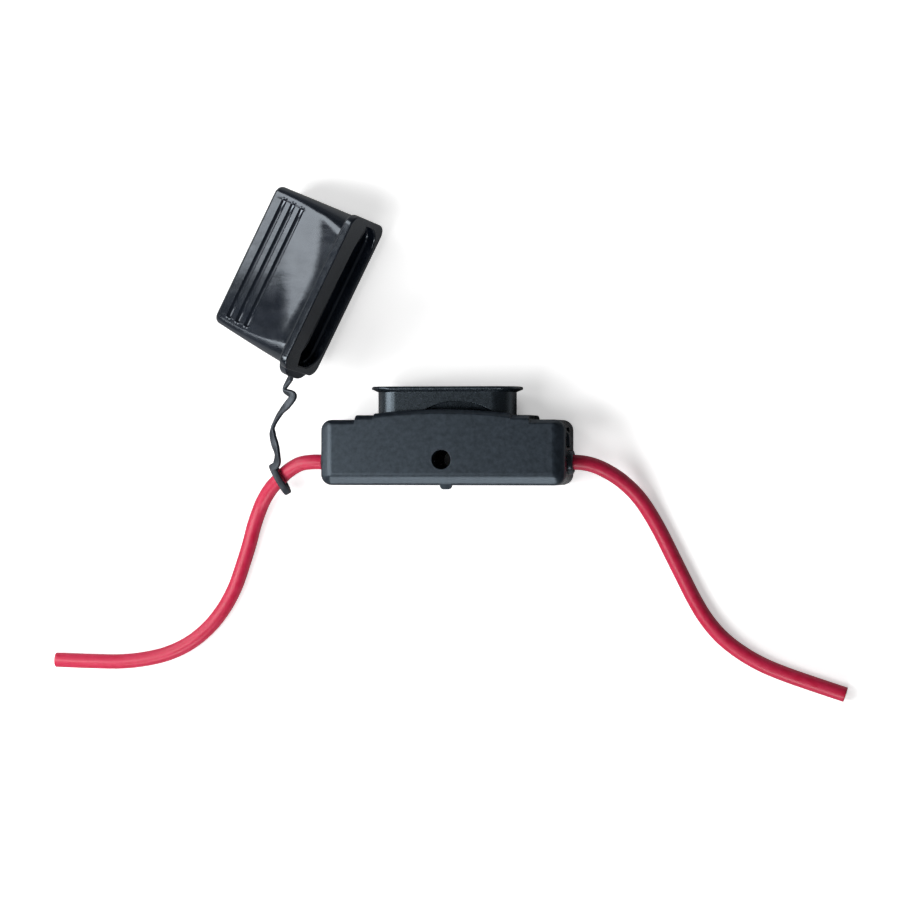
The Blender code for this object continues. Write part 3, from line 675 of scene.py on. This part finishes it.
def red_insulation(name):
    """Extruded vinyl: lengthwise draw lines, a faint waxy bloom and small scuffs."""
    surface = Surface(name, (0.70, 0.022, 0.075), 0.38, specular=0.5)
    uv = surface.tree.nodes.new("ShaderNodeUVMap").outputs["UV"]
    lines = surface.noise(1.0, 3.0, 0.6, surface.stretched((90.0, 12.0, 1.0), uv))
    bloom = surface.noise(700.0, detail=4.0, rough=0.6)
    deep, waxy = (0.50, 0.007, 0.045), (0.57, 0.015, 0.070)
    surface.colour(surface.mixed(surface.between(bloom, 0.0, 1.0, 0.35, 0.7), deep, waxy))
    surface.roughness(surface.between(bloom, 0.33, 0.5))
    drawn = surface.bump(lines, 0.012)
    surface.normal(surface.bump(surface.noise(2600.0, rough=0.6), 0.006, under=drawn))
    return surface.material


def bare_copper(name):
    surface = Surface(name, (0.86, 0.42, 0.24), 0.28, metallic=1.0)
    tarnish = surface.noise(2500.0, detail=4.0, rough=0.6)
    brown, bright = (0.52, 0.22, 0.12), (0.90, 0.47, 0.28)
    surface.colour(surface.mixed(surface.between(tarnish, 0.0, 1.0), brown, bright))
    surface.roughness(surface.between(tarnish, 0.2, 0.42))
    surface.normal(surface.bump(surface.noise(9000.0, detail=2.0), 0.004))
    return surface.material


def tinned_sheet(name):
    surface = Surface(name, (0.72, 0.70, 0.66), 0.3, metallic=1.0)
    rolled = surface.noise(1.0, 4.0, 0.6, surface.stretched((400.0, 9000.0, 9000.0)))
    dull, bright = (0.58, 0.56, 0.52), (0.80, 0.78, 0.74)
    surface.colour(surface.mixed(surface.between(rolled, 0.0, 1.0), dull, bright))
    surface.roughness(surface.between(rolled, 0.22, 0.4))
    surface.normal(surface.bump(rolled, 0.006))
    return surface.material


def body_outline(inset=0.0, guard=False):
    """Outline of the housing seen from the front, with the pad and, on the cover, the guard."""
    half, low, top = HALF_LENGTH - inset, BODY_BOTTOM + inset, BODY_TOP - inset * TOP_EDGE_SHARE
    pad, pad_top = PAD_HALF, PAD_TOP - inset * TOP_EDGE_SHARE
    corner = max(BODY_CORNER - inset, BODY_CORNER_LEAST)
    right = [(half, low, corner), (half, top, corner),
             (pad, top, PAD_FOOT_ROUND), (pad, pad_top, PAD_ROUND)]
    crown = []
    if guard:
        close = inset * GUARD_EDGE_SHARE
        reach, height = GUARD_HALF, GUARD_TOP - close
        right += [(reach, pad_top, GUARD_FOOT_ROUND), (reach, height, GUARD_ROUND)]
        shares = [1 - GUARD_STEP - GUARD_STEP * i for i in range(round(2 / GUARD_STEP) - 1)]
        places = [reach * share for share in shares]
        crown = [(x, height + GUARD_CROWN * (1 - (x / reach) ** 2), 0.0) for x in places]
    left = [(-x, y, radius) for x, y, radius in reversed(right)]
    return outline(right + crown + left, 8)


def rounded_levels(radius):
    """Height and inset pairs of a quarter round, from the flat side out."""
    turns = [math.radians(90 * i / ROUND_STEPS) for i in range(ROUND_STEPS + 1)]
    return [(radius * (1 - math.sin(t)), radius * (1 - math.cos(t))) for t in reversed(turns)]


def collar_ring(y, grow_x=0.0, grow_z=0.0, corner=COLLAR_CORNER):
    """Ring of the collar, wider on each side by so much than its neck."""
    ring = rectangle(COLLAR_LENGTH + 2 * grow_x, COLLAR_THICKNESS + 2 * grow_z, corner,
                     0, MIDDLE_Z, COLLAR_STEPS)
    return at_y(ring, y)


def make_collar():
    """Neck round the fuse socket with a filleted foot, and its undercut lip."""
    rings = [collar_ring(BODY_TOP - ROOT_DEPTH), collar_ring(PAD_TOP - 0.1)]
    for turn in (0, 30, 60, 90):
        angle = math.radians(turn)
        grow = COLLAR_FILLET * (1 - math.sin(angle))
        y = PAD_TOP - 0.05 + COLLAR_FILLET * (1 - math.cos(angle))
        rings.append(collar_ring(y, grow, grow, COLLAR_CORNER + grow))
    rings.append(collar_ring(COLLAR_TOP - 0.4))
    low = COLLAR_TOP - LIP_HEIGHT
    high = low + LIP_UNDERCUT
    levels = [(low, LIP_END_REACH - 0.1), (high - 0.06, 0.08), (high + 0.02, 0.0)]
    levels += [(COLLAR_TOP - drop, inset) for drop, inset in LIP_ROUND]
    side_share = LIP_SIDE_REACH / LIP_END_REACH
    lip = [collar_ring(y, LIP_END_REACH - inset, LIP_SIDE_REACH - inset * side_share)
           for y, inset in levels]
    return join(loft("collar", rings), loft("lip", lip))


def make_outlet(side):
    """Round boss that a lead leaves the housing by."""
    soft = OUTLET_CHAMFER * 0.3
    rings = []
    for x, inset in ((HALF_LENGTH - ROOT_DEPTH, 0.0), (OUTLET_END - OUTLET_CHAMFER, 0.0),
                     (OUTLET_END - soft, soft), (OUTLET_END, OUTLET_CHAMFER)):
        ring = circle(OUTLET_DIAMETER - 2 * inset, LEAD_Y, MIDDLE_Z)
        rings.append(at_x(ring, side * x))
    return loft("outlet", rings)


def socket_cutters():
    """Fuse pocket with its lead-in, the two blade slots, and the recess under the lip."""
    rings = []
    for y, grow in ((FUSE_SEAT, 0.0), (COLLAR_TOP - POCKET_LEAD_IN, 0.0), (COLLAR_TOP - 0.08, 0.16),
                    (COLLAR_TOP + 0.1, POCKET_LEAD_IN)):
        ring = rectangle(POCKET_WIDTH + 2 * grow, POCKET_THICKNESS + 2 * grow, POCKET_CORNER, 0, MIDDLE_Z)
        rings.append(at_y(ring, y))
    cutters = [loft("pocket", rings)]
    floor = BODY_TOP - TOP_WALL
    for x in (-BLADE_X, BLADE_X):
        cutters.append(block(x - SLOT_WIDTH / 2, x + SLOT_WIDTH / 2, floor - OVERLAP, FUSE_SEAT + OVERLAP,
                             MIDDLE_Z - SLOT_THICKNESS / 2, MIDDLE_Z + SLOT_THICKNESS / 2))
    front = MIDDLE_Z + COLLAR_THICKNESS / 2
    rings = []
    least = 0.02
    for i in range(RECESS_STEPS + 1):
        rise = 1 - (i / RECESS_STEPS) ** 2
        y = RECESS_FOOT + (RECESS_TOP - RECESS_FOOT) * rise
        reach, depth = RECESS_REACH * i / RECESS_STEPS + least, RECESS_DEPTH * (1 - rise) + least
        left, right = RECESS_MIDDLE - reach, RECESS_MIDDLE + reach
        rings.append([Vector((left, y, front - depth)), Vector((right, y, front - depth)),
                      Vector((right, y, front + OVERLAP)), Vector((left, y, front + OVERLAP))])
    cutters.append(loft("recess", rings[::-1]))
    return cutters


def hook_window(side):
    """Cutter of the window in an end wall that a hook snaps into."""
    inner, outer = HALF_LENGTH - WALL - OVERLAP, HALF_LENGTH + OVERLAP
    x0, x1 = sorted((side * inner, side * outer))
    return block(x0, x1, HOOK_BOTTOM - WINDOW_PLAY, HOOK_TOP + WINDOW_PLAY,
                 HOOK_FACE - HOOK_LENGTH - WINDOW_PLAY, HOOK_FACE + WINDOW_PLAY)


def make_housing(material):
    rings = [at_z(body_outline(inset), z) for z, inset in rounded_levels(BACK_EDGE)]
    rings.append(at_z(body_outline(), SHELL_FRONT))
    shell = loft("housing", rings)
    join(shell, make_collar(), make_outlet(-1), make_outlet(1))
    cavity_top, cavity_bottom = BODY_TOP - TOP_WALL, BODY_BOTTOM + WALL
    cavity = rectangle(2 * (HALF_LENGTH - WALL), cavity_top - cavity_bottom, CAVITY_CORNER,
                       0, (cavity_top + cavity_bottom) / 2)
    cut(shell, loft("cavity", [at_z(cavity, BACK_WALL), at_z(cavity, SHELL_FRONT + OVERLAP)]))
    join(shell, screw_rod(SCREW_TUBE, BACK_WALL - OVERLAP, SHELL_FRONT))
    inner, outer = HALF_LENGTH - WALL - OVERLAP, OUTLET_END + OVERLAP
    bores = [outlet_rod(LEAD_BORE, side * inner, side * outer) for side in (-1, 1)]
    screw = screw_rod(SCREW_BORE, -OVERLAP, SHELL_FRONT + OVERLAP)
    cut(shell, screw, *bores, *socket_cutters(), hook_window(-1), hook_window(1))
    soften(shell)
    return dress(shell, "housing_shell", "holder", material, ["housing"])


def make_hook(side):
    """Ramped hook with a rounded tip, on an arm inside the end wall."""
    outer = HALF_LENGTH - WALL - HOOK_PLAY
    inner = outer - HOOK_ARM
    back = HOOK_FACE - HOOK_LENGTH
    x0, x1 = sorted((side * inner, side * outer))
    shank = block(x0, x1, HOOK_BOTTOM + 0.1, HOOK_TOP - 0.1, back, COVER_BACK + OVERLAP)
    rings = []
    for z, reach, radius in ((back + 0.1, outer + 0.2, 0.2), (back + 0.9, HOOK_TIP, HOOK_ROUND),
                             (HOOK_FACE, HOOK_TIP, HOOK_ROUND)):
        corners = [(inner + 0.2, HOOK_BOTTOM, 0.05), (reach, HOOK_BOTTOM, 0.15),
                   (reach, HOOK_TOP, radius), (inner + 0.2, HOOK_TOP, 0.05)]
        ring = [Vector((side * p.x, p.y)) for p in outline(corners)]
        rings.append(at_z(ring, z))
    return [shank, loft("hook", rings)]


def make_pry_tab():
    """Small round tab on the cover's lower edge, to lift it off by."""
    left, right = PRY_TAB_X - PRY_TAB_WIDTH / 2, PRY_TAB_X + PRY_TAB_WIDTH / 2
    root, tip = BODY_BOTTOM + 0.6, BODY_BOTTOM - PRY_TAB_REACH
    shape = outline([(left, root, 0), (left, tip, PRY_TAB_ROUND),
                     (right, tip, PRY_TAB_ROUND), (right, root, 0)])
    return loft("tab", [at_z(shape, COVER_BACK + 0.1), at_z(shape, COVER_BACK + PRY_TAB_HEIGHT)])


def make_cover(material):
    rings = [at_z(body_outline(0.0, True), COVER_BACK)]
    for drop, inset in EDGE_PROFILE:
        rings.append(at_z(body_outline(inset, True), BODY_THICKNESS - drop))
    cover = loft("front_cover", rings)
    join(cover, make_pry_tab(), *make_hook(-1), *make_hook(1))
    cut(cover, screw_rod(SCREW_BORE, COVER_BACK - OVERLAP, BODY_THICKNESS + OVERLAP))
    soften(cover)
    return dress(cover, "cover_plate", "holder", material, ["front_cover"])


def cap_size(height):
    """Outer width and thickness of the cap without its rim, by distance from the closed end."""
    share = height / CAP_HEIGHT
    width = CAP_END_WIDTH + (CAP_MOUTH_WIDTH - CAP_END_WIDTH) * share
    thickness = CAP_END_THICKNESS + (CAP_MOUTH_THICKNESS - CAP_END_THICKNESS) * share ** CAP_FLARE
    return width, thickness


def cap_ring(height, inset, groove=0.0, rim=False):
    """Ring of the cap, with corners that widen up to the rim; a groove sinks its wide faces."""
    width, thickness = cap_size(height)
    a, b = width / 2 - inset, thickness / 2 - inset
    share = (height / CAP_HEIGHT) ** CAP_CORNER_FLARE
    corner = CAP_CORNER + (CAP_MOUTH_CORNER - CAP_CORNER) * share
    radius = RIM_CORNER - inset - RIM_PROUD if rim else max(corner - inset, 0.4)
    stop = width / 2 - corner - GROOVE_END
    inner = stop - GROOVE_SLOPE
    slope = [(-stop + GROOVE_SLOPE * part, depth) for part, depth in GROOVE_SLOPE_POINTS]
    middle = [(inner * (i / 5 - 1), 1.0) for i in range(1, 10)]
    face = slope + middle + [(-x, depth) for x, depth in reversed(slope)]
    low = [(x, -b + groove * depth, 0) for x, depth in face]
    high = [(-x, -z, 0) for x, z, _ in low]
    corners = [(-a, -b, radius)] + low + [(a, -b, radius), (a, b, radius)] + high + [(-a, b, radius)]
    return at_y(outline(corners, CAP_CORNER_STEPS), height)


def near_side(point):
    """One on the mouth's upper side, falling to nought round its ends and on its lower side."""
    share = max(0.0, min(1.0, point.z / NEAR_FADE))
    return share * share * (3 - 2 * share)


def cap_outside():
    """Rings of the outside, from the closed end to the mouth."""
    rings = [cap_ring(height, inset) for height, inset in rounded_levels(CAP_END_ROUND)]
    for place in GROOVE_PLACES:
        for i in range(GROOVE_STEPS + 1):
            share = i / GROOVE_STEPS
            depth = GROOVE_DEPTH * math.sin(math.pi * share) ** 0.8
            rings.append(cap_ring(place + GROOVE_WIDTH * (share - 0.5), 0, depth))
    last = GROOVE_PLACES[-1] + GROOVE_WIDTH / 2
    rim = CAP_HEIGHT - RIM_HEIGHT
    rings += [cap_ring(last + (rim - last) * i / CAP_WALL_STEPS, 0) for i in range(1, CAP_WALL_STEPS + 1)]
    levels = [(rim + rise, -RIM_PROUD * share) for rise, share in RIM_FOOT]
    levels += [(CAP_HEIGHT - drop, inset - RIM_PROUD) for drop, inset in RIM_ROUND]
    for height, inset in levels:
        ring = cap_ring(height, inset, rim=True)
        reach = NEAR_EDGE * (height - rim) / RIM_HEIGHT
        rings.append([Vector((p.x, p.y + reach * near_side(p), p.z)) for p in ring])
    return rings


def cap_inside():
    """Rings of the hollow, from the mouth in; a bead snaps under the collar's lip."""
    bead = CAP_HEIGHT - BEAD_FROM_MOUTH
    rings = [cap_ring(CAP_HEIGHT, CAP_WALL - 0.2), cap_ring(CAP_HEIGHT - 0.08, CAP_WALL - 0.08),
             cap_ring(CAP_HEIGHT - 0.2, CAP_WALL)]
    for i in range(BEAD_STEPS + 1):
        share = i / BEAD_STEPS
        proud = BEAD_PROUD * math.sin(math.pi * share) ** 2
        rings.append(cap_ring(bead + BEAD_HALF * (1 - 2 * share), CAP_WALL + proud))
    straight = bead - BEAD_HALF - CAP_END_WALL
    for i in range(HOLLOW_STEPS - 1, 0, -1):
        rings.append(cap_ring(CAP_END_WALL + straight * i / HOLLOW_STEPS, CAP_WALL))
    rings.append(cap_ring(CAP_END_WALL + 0.15, CAP_WALL + 0.02))
    rings.append(cap_ring(CAP_END_WALL, CAP_WALL + 0.2))
    return rings


def cap_matrix():
    """Turns the cap's own frame (width, height, thickness) into its place at rest."""
    heading = Matrix.Rotation(math.radians(CAP_HEADING - 90), 4, "Z")
    lift = Matrix.Rotation(math.radians(CAP_LIFT), 4, "X")
    return Matrix.Translation(Vector(CAP_PLACE) * MM) @ heading @ lift


def ring_frame():
    """Centre of the ring, the lead's direction there, and the ring's own more level direction."""
    before, centre, after = (Vector(LEFT_ROUTE[RING_POINT + i]) for i in (-1, 0, 1))
    axis = (after - before).normalized()
    rise = math.radians(RING_RISE)
    level = Matrix.Rotation(math.radians(-RING_TILT), 3, "Z") @ Vector((axis.x, axis.y, 0)).normalized()
    return centre, axis, level * math.cos(rise) + Vector((0, 0, 1)) * math.sin(rise)


def section(width, thickness, radius):
    return [(p.x, p.y) for p in rectangle(width, thickness, radius, steps=4)]


def make_ring():
    """Ring that runs round the left lead."""
    centre, _, axis = ring_frame()
    side = axis.cross(Vector((0, 0, 1))).normalized()
    up = side.cross(axis)
    middle = RING_BORE / 2 + RING_WALL / 2
    rings = []
    for i in range(RING_STEPS):
        angle = 2 * math.pi * i / RING_STEPS
        out = side * math.cos(angle) + up * math.sin(angle)
        rings.append([centre + out * (middle + y) + axis * x
                      for x, y in section(RING_WIDTH, RING_WALL, RING_ROUND)])
    return loft("ring", rings, closed=True)


def make_strap():
    """Flat strap from the tab to the ring, turned about its own line as it runs."""
    centre, _, axis = ring_frame()
    tab = Vector((cap_size(CAP_HEIGHT)[0] / 2 + TAB_REACH / 2, CAP_HEIGHT - TAB_LENGTH / 2, 0))
    root = cap_matrix() @ (tab * MM)
    last = Vector(STRAP_ROUTE[-1][:3])
    out = (last - centre) - axis * (last - centre).dot(axis)
    seat = centre + out.normalized() * (RING_BORE / 2 + RING_WALL * 0.6)
    line = [root / MM] + [Vector(p[:3]) for p in STRAP_ROUTE] + [seat]
    turns = [STRAP_ROUTE[0][3]] + [p[3] for p in STRAP_ROUTE] + [STRAP_ROUTE[-1][3]]
    curve = smooth_curve(line)
    rings = []
    for i, point in enumerate(curve):
        along = (curve[min(i + 1, len(curve) - 1)] - curve[max(i - 1, 0)]).normalized()
        share = i / CURVE_STEPS
        low = min(int(share), len(turns) - 2)
        blend = share - low
        blend = blend * blend * (3 - 2 * blend)
        turn = turns[low] + (turns[low + 1] - turns[low]) * blend
        flat = along.cross(Vector((0, 0, 1))).normalized()
        wide = Matrix.Rotation(math.radians(turn), 3, along) @ flat
        thick = along.cross(wide)
        rings.append([point + wide * x + thick * y
                      for x, y in section(STRAP_WIDTH, STRAP_THICKNESS, STRAP_ROUND)])
    return loft("strap", rings)


def make_cap(material):
    """Cap, tab, strap and ring in one moulding."""
    shell = loft("cap", cap_outside())
    width = cap_size(CAP_HEIGHT)[0] / 2
    root, tip, half = width - TAB_ROOT, width + TAB_REACH, TAB_WIDTH / 2
    tab = outline([(root, -half, 0), (tip, -half, TAB_CORNER), (tip, half, TAB_CORNER), (root, half, 0)])
    tab_low, tab_high = CAP_HEIGHT - TAB_LENGTH, CAP_HEIGHT - 0.15
    join(shell, soften(loft("tab", [at_y(tab, tab_low), at_y(tab, tab_high)]), 0.25, segments=4))
    hollow = cap_inside()
    beyond = [Vector((p.x, CAP_HEIGHT + OVERLAP, p.z)) for p in hollow[0]]
    cut(shell, loft("hollow", [beyond] + hollow))
    shell.data.transform(cap_matrix())
    join(shell, make_strap(), make_ring())
    return dress(shell, "cap_moulding", "cap", material, ["cap"], sharp=40.0)


def turned_frames(points):
    """Side, up and forward directions at each point, which don't turn about the line."""
    side = Vector((0, 0, 1)).cross(points[1] - points[0]).normalized()
    frames = []
    for i in range(len(points)):
        along = (points[min(i + 1, len(points) - 1)] - points[max(i - 1, 0)]).normalized()
        side = (side - along * side.dot(along)).normalized()
        frames.append((side, along.cross(side), along))
    return frames


def tube_ring(point, directions, radius, sides, phase=0.0):
    side, up, _ = directions
    turns = [2 * math.pi * i / sides + phase for i in range(sides)]
    return [point + side * radius * math.cos(t) + up * radius * math.sin(t) for t in turns]


def make_strands(name, points, frames, material):
    """Cut end of the twisted copper strands, in the bore of the insulation."""
    rng = random.Random(SEED + len(points))
    shape = bmesh.new()
    layout = [(0.0, 0.0)]
    layout += [(STRAND_DIAMETER, i * math.pi / 3) for i in range(6)]
    layout += [(STRAND_DIAMETER * 1.97, i * math.pi / 6 + 0.2) for i in range(12)]
    end, (side, up, along) = points[-1], frames[-1]
    for reach, angle in layout:
        cut_back = rng.uniform(*STRAND_CUT)
        rings = []
        for i in range(STRAND_STEPS + 1):
            share = i / STRAND_STEPS
            back = CORE_DEPTH * (1 - share) - cut_back * share
            turn = angle + STRAND_TWIST * back
            middle = end - along * back + side * reach * math.cos(turn) + up * reach * math.sin(turn)
            radius = STRAND_DIAMETER / 2 * (0.98 if i < STRAND_STEPS else 0.86)
            rings.append(tube_ring(middle, frames[-1], radius, STRAND_SIDES, turn))
        add_rings(shape, rings)
    strands = new_object(name, shape)
    return dress(strands, name, "holder", material)


def make_lead(name, route, red, copper):
    """Insulated lead: a closed tube with a bore at its cut end, where the strands show."""
    points = spaced(smooth_curve(route), LEAD_SPACING)
    frames = turned_frames(points)
    end, directions = points[-1], frames[-1]
    along = directions[2]
    rings = [tube_ring(*place, LEAD_DIAMETER / 2, LEAD_SIDES) for place in zip(points[:-1], frames[:-1])]
    sizes = [(back, LEAD_DIAMETER / 2 - inset) for back, inset in LEAD_CUT]
    sizes += [(back, CORE_DIAMETER / 2 + CORE_PLAY + grow) for back, grow in CORE_CUT]
    rings += [tube_ring(end - along * back, directions, radius, LEAD_SIDES) for back, radius in sizes]
    shape = bmesh.new()
    layer = shape.loops.layers.uv.new("UVMap")
    travelled = 0.0
    for low, high, walls in zip(rings, rings[1:], add_rings(shape, rings)):
        reached = travelled + (high[0] - low[0]).length
        for i, wall in enumerate(walls):
            marks = ((i, travelled), (i + 1, travelled), (i + 1, reached), (i, reached))
            for loop, (turn, length) in zip(wall.loops, marks):
                loop[layer].uv = (turn / LEAD_SIDES, length / DRAWN_LENGTH)
        travelled = reached
    lead = new_object(name, shape)
    dress(lead, name, "holder", red, [name.replace("wire", "lead")], sharp=50.0)
    strands = make_strands(name.replace("wire", "strands"), points, frames, copper)
    length = sum((b - a).length for a, b in zip(points, points[1:]))
    return lead


def opened(surface, reach, least, most):
    """How far a point is open to the sky, from nought at the least share to one at the most."""
    shade = surface.add("ShaderNodeAmbientOcclusion", Distance=reach * MM)
    shade.samples = SHADE_SAMPLES
    return surface.between(shade.outputs["AO"], 0.0, 1.0, least, most)


def white_paper():
    """Paper that shows white and keeps shadows, dark down a deep hole; reflections see it dimmed, with a
    painted shade at the foot of a wall.
    """
    surface = Shading("paper")
    surface.tree.nodes.clear()
    path = surface.add("ShaderNodeLightPath").outputs
    seen = surface.maths("MULTIPLY", path["Is Camera Ray"], opened(surface, HOLE_REACH, *HOLE_OPEN))
    mirrored = surface.maths("MAXIMUM", path["Is Glossy Ray"], path["Is Transmission Ray"])
    shown = surface.maths("SUBTRACT", 1.0, surface.maths("MULTIPLY", mirrored, 1 - PAPER_MIRROR))
    mirrored = surface.maths("MULTIPLY", mirrored, opened(surface, WALL_REACH, *WALL_OPEN))
    both = surface.maths("MAXIMUM", seen, surface.maths("MULTIPLY", mirrored, PAPER_MIRROR))
    paper = surface.add("ShaderNodeBsdfDiffuse", Color=surface.maths("MULTIPLY", shown, PAPER_COLOUR))
    glow = surface.add("ShaderNodeEmission", Color=(1.0, 1.0, 1.0, 1.0),
                       Strength=surface.maths("MULTIPLY", both, PAPER_GLOW))
    total = surface.add("ShaderNodeAddShader")
    surface.put(paper.outputs[0], total.inputs[0])
    surface.put(glow.outputs[0], total.inputs[1])
    surface.add("ShaderNodeOutputMaterial", Surface=total.outputs[0])
    return surface.material


def make_studio():
    """Floor, and a low wall a long way round it for the low views."""
    paper = white_paper()
    shape = bmesh.new()
    bmesh.ops.create_circle(shape, cap_ends=True, segments=STUDIO_SIDES, radius=STUDIO_RADIUS)
    floor = new_object("floor", shape)
    floor.location.z = -FLOOR_GAP * MM
    shape = bmesh.new()
    low, high = (bmesh.ops.create_circle(shape, segments=STUDIO_SIDES, radius=WALL_RADIUS,
                                         matrix=Matrix.Translation((0, 0, z)))["verts"] for z in WALL_ENDS)
    for i in range(STUDIO_SIDES):
        j = (i + 1) % STUDIO_SIDES
        shape.faces.new((low[i], low[j], high[j], high[i]))
    wall = new_object("backdrop", shape)
    for item in (floor, wall):
        item.data.materials.append(paper)


def make_world():
    world = bpy.data.worlds.new("studio")
    bpy.context.scene.world = world
    world.use_nodes = True
    sky = world.node_tree.nodes["Background"]
    sky.inputs["Color"].default_value = (1.0, 1.0, 1.0, 1.0)
    sky.inputs["Strength"].default_value = SKY_STRENGTH


def make_softbox(name, toward, distance, width, height, brightness):
    """A rectangular lamp, seen from the object in that direction."""
    data = bpy.data.lights.new(name, "AREA")
    data.shape = "RECTANGLE"
    data.size = width * MM
    data.size_y = height * MM
    data.energy = brightness * math.pi * data.size * data.size_y
    lamp = bpy.data.objects.new(name, data)
    bpy.context.scene.collection.objects.link(lamp)
    direction = Vector(toward).normalized()
    lamp.location = direction * distance * MM
    lamp.rotation_mode = "QUATERNION"
    lamp.rotation_quaternion = (-direction).to_track_quat("-Z", "Y")


def make_camera():
    yaw = math.radians(CAMERA_YAW)
    right = Vector((math.cos(yaw), 0, -math.sin(yaw)))
    back = Vector((math.sin(yaw), 0, math.cos(yaw)))
    data = bpy.data.cameras.new("camera")
    data.sensor_fit = "HORIZONTAL"
    data.sensor_width = SENSOR
    data.lens = SENSOR * CAMERA_DISTANCE / (PIXEL * IMAGE_SIZE)
    data.clip_start, data.clip_end = CAMERA_CLIP
    camera = bpy.data.objects.new("camera", data)
    bpy.context.scene.collection.objects.link(camera)
    turn = Matrix((right, Vector((0, 1, 0)), back)).transposed()
    place = (Vector(CAMERA_TARGET) + back * CAMERA_DISTANCE) * MM
    camera.matrix_world = Matrix.Translation(place) @ turn.to_4x4()
    bpy.context.scene.camera = camera


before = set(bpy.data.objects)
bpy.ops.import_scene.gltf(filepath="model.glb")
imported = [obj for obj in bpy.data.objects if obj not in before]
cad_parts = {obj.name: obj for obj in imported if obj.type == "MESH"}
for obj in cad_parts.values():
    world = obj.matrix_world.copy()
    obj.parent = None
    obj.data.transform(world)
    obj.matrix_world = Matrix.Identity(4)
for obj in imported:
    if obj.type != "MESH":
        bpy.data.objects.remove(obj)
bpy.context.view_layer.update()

make_camera()
red = red_insulation("red_insulation")
copper = bare_copper("bare_copper")
make_lead("left_wire", LEFT_ROUTE, red, copper)
make_lead("right_wire", RIGHT_ROUTE, red, copper)
make_housing(moulded_black("housing_plastic", dark=(0.004, 0.006, 0.008), light=(0.007, 0.010, 0.014),
                           roughness=0.27, specular=0.85, grain=0.004))
make_cover(moulded_black("cover_plastic", dark=(0.006, 0.009, 0.013), light=(0.018, 0.024, 0.033),
                         roughness=0.36, specular=0.55, grain=0.014))
make_cap(satin_black("cap_plastic", dark=(0.003, 0.005, 0.009), light=(0.007, 0.010, 0.017),
                     roughness=0.19, specular=0.85))
tin = tinned_sheet("tinned_sheet")
for side in ("left", "right"):
    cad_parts[side + "_terminal"].data.materials[0] = tin
    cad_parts[side + "_conductor"].data.materials[0] = copper

make_studio()
make_world()
for name, toward, distance, width, height, brightness in SOFTBOXES:
    make_softbox(name, toward, distance, width, height, brightness)
bpy.context.scene.view_settings.view_transform = "Standard"
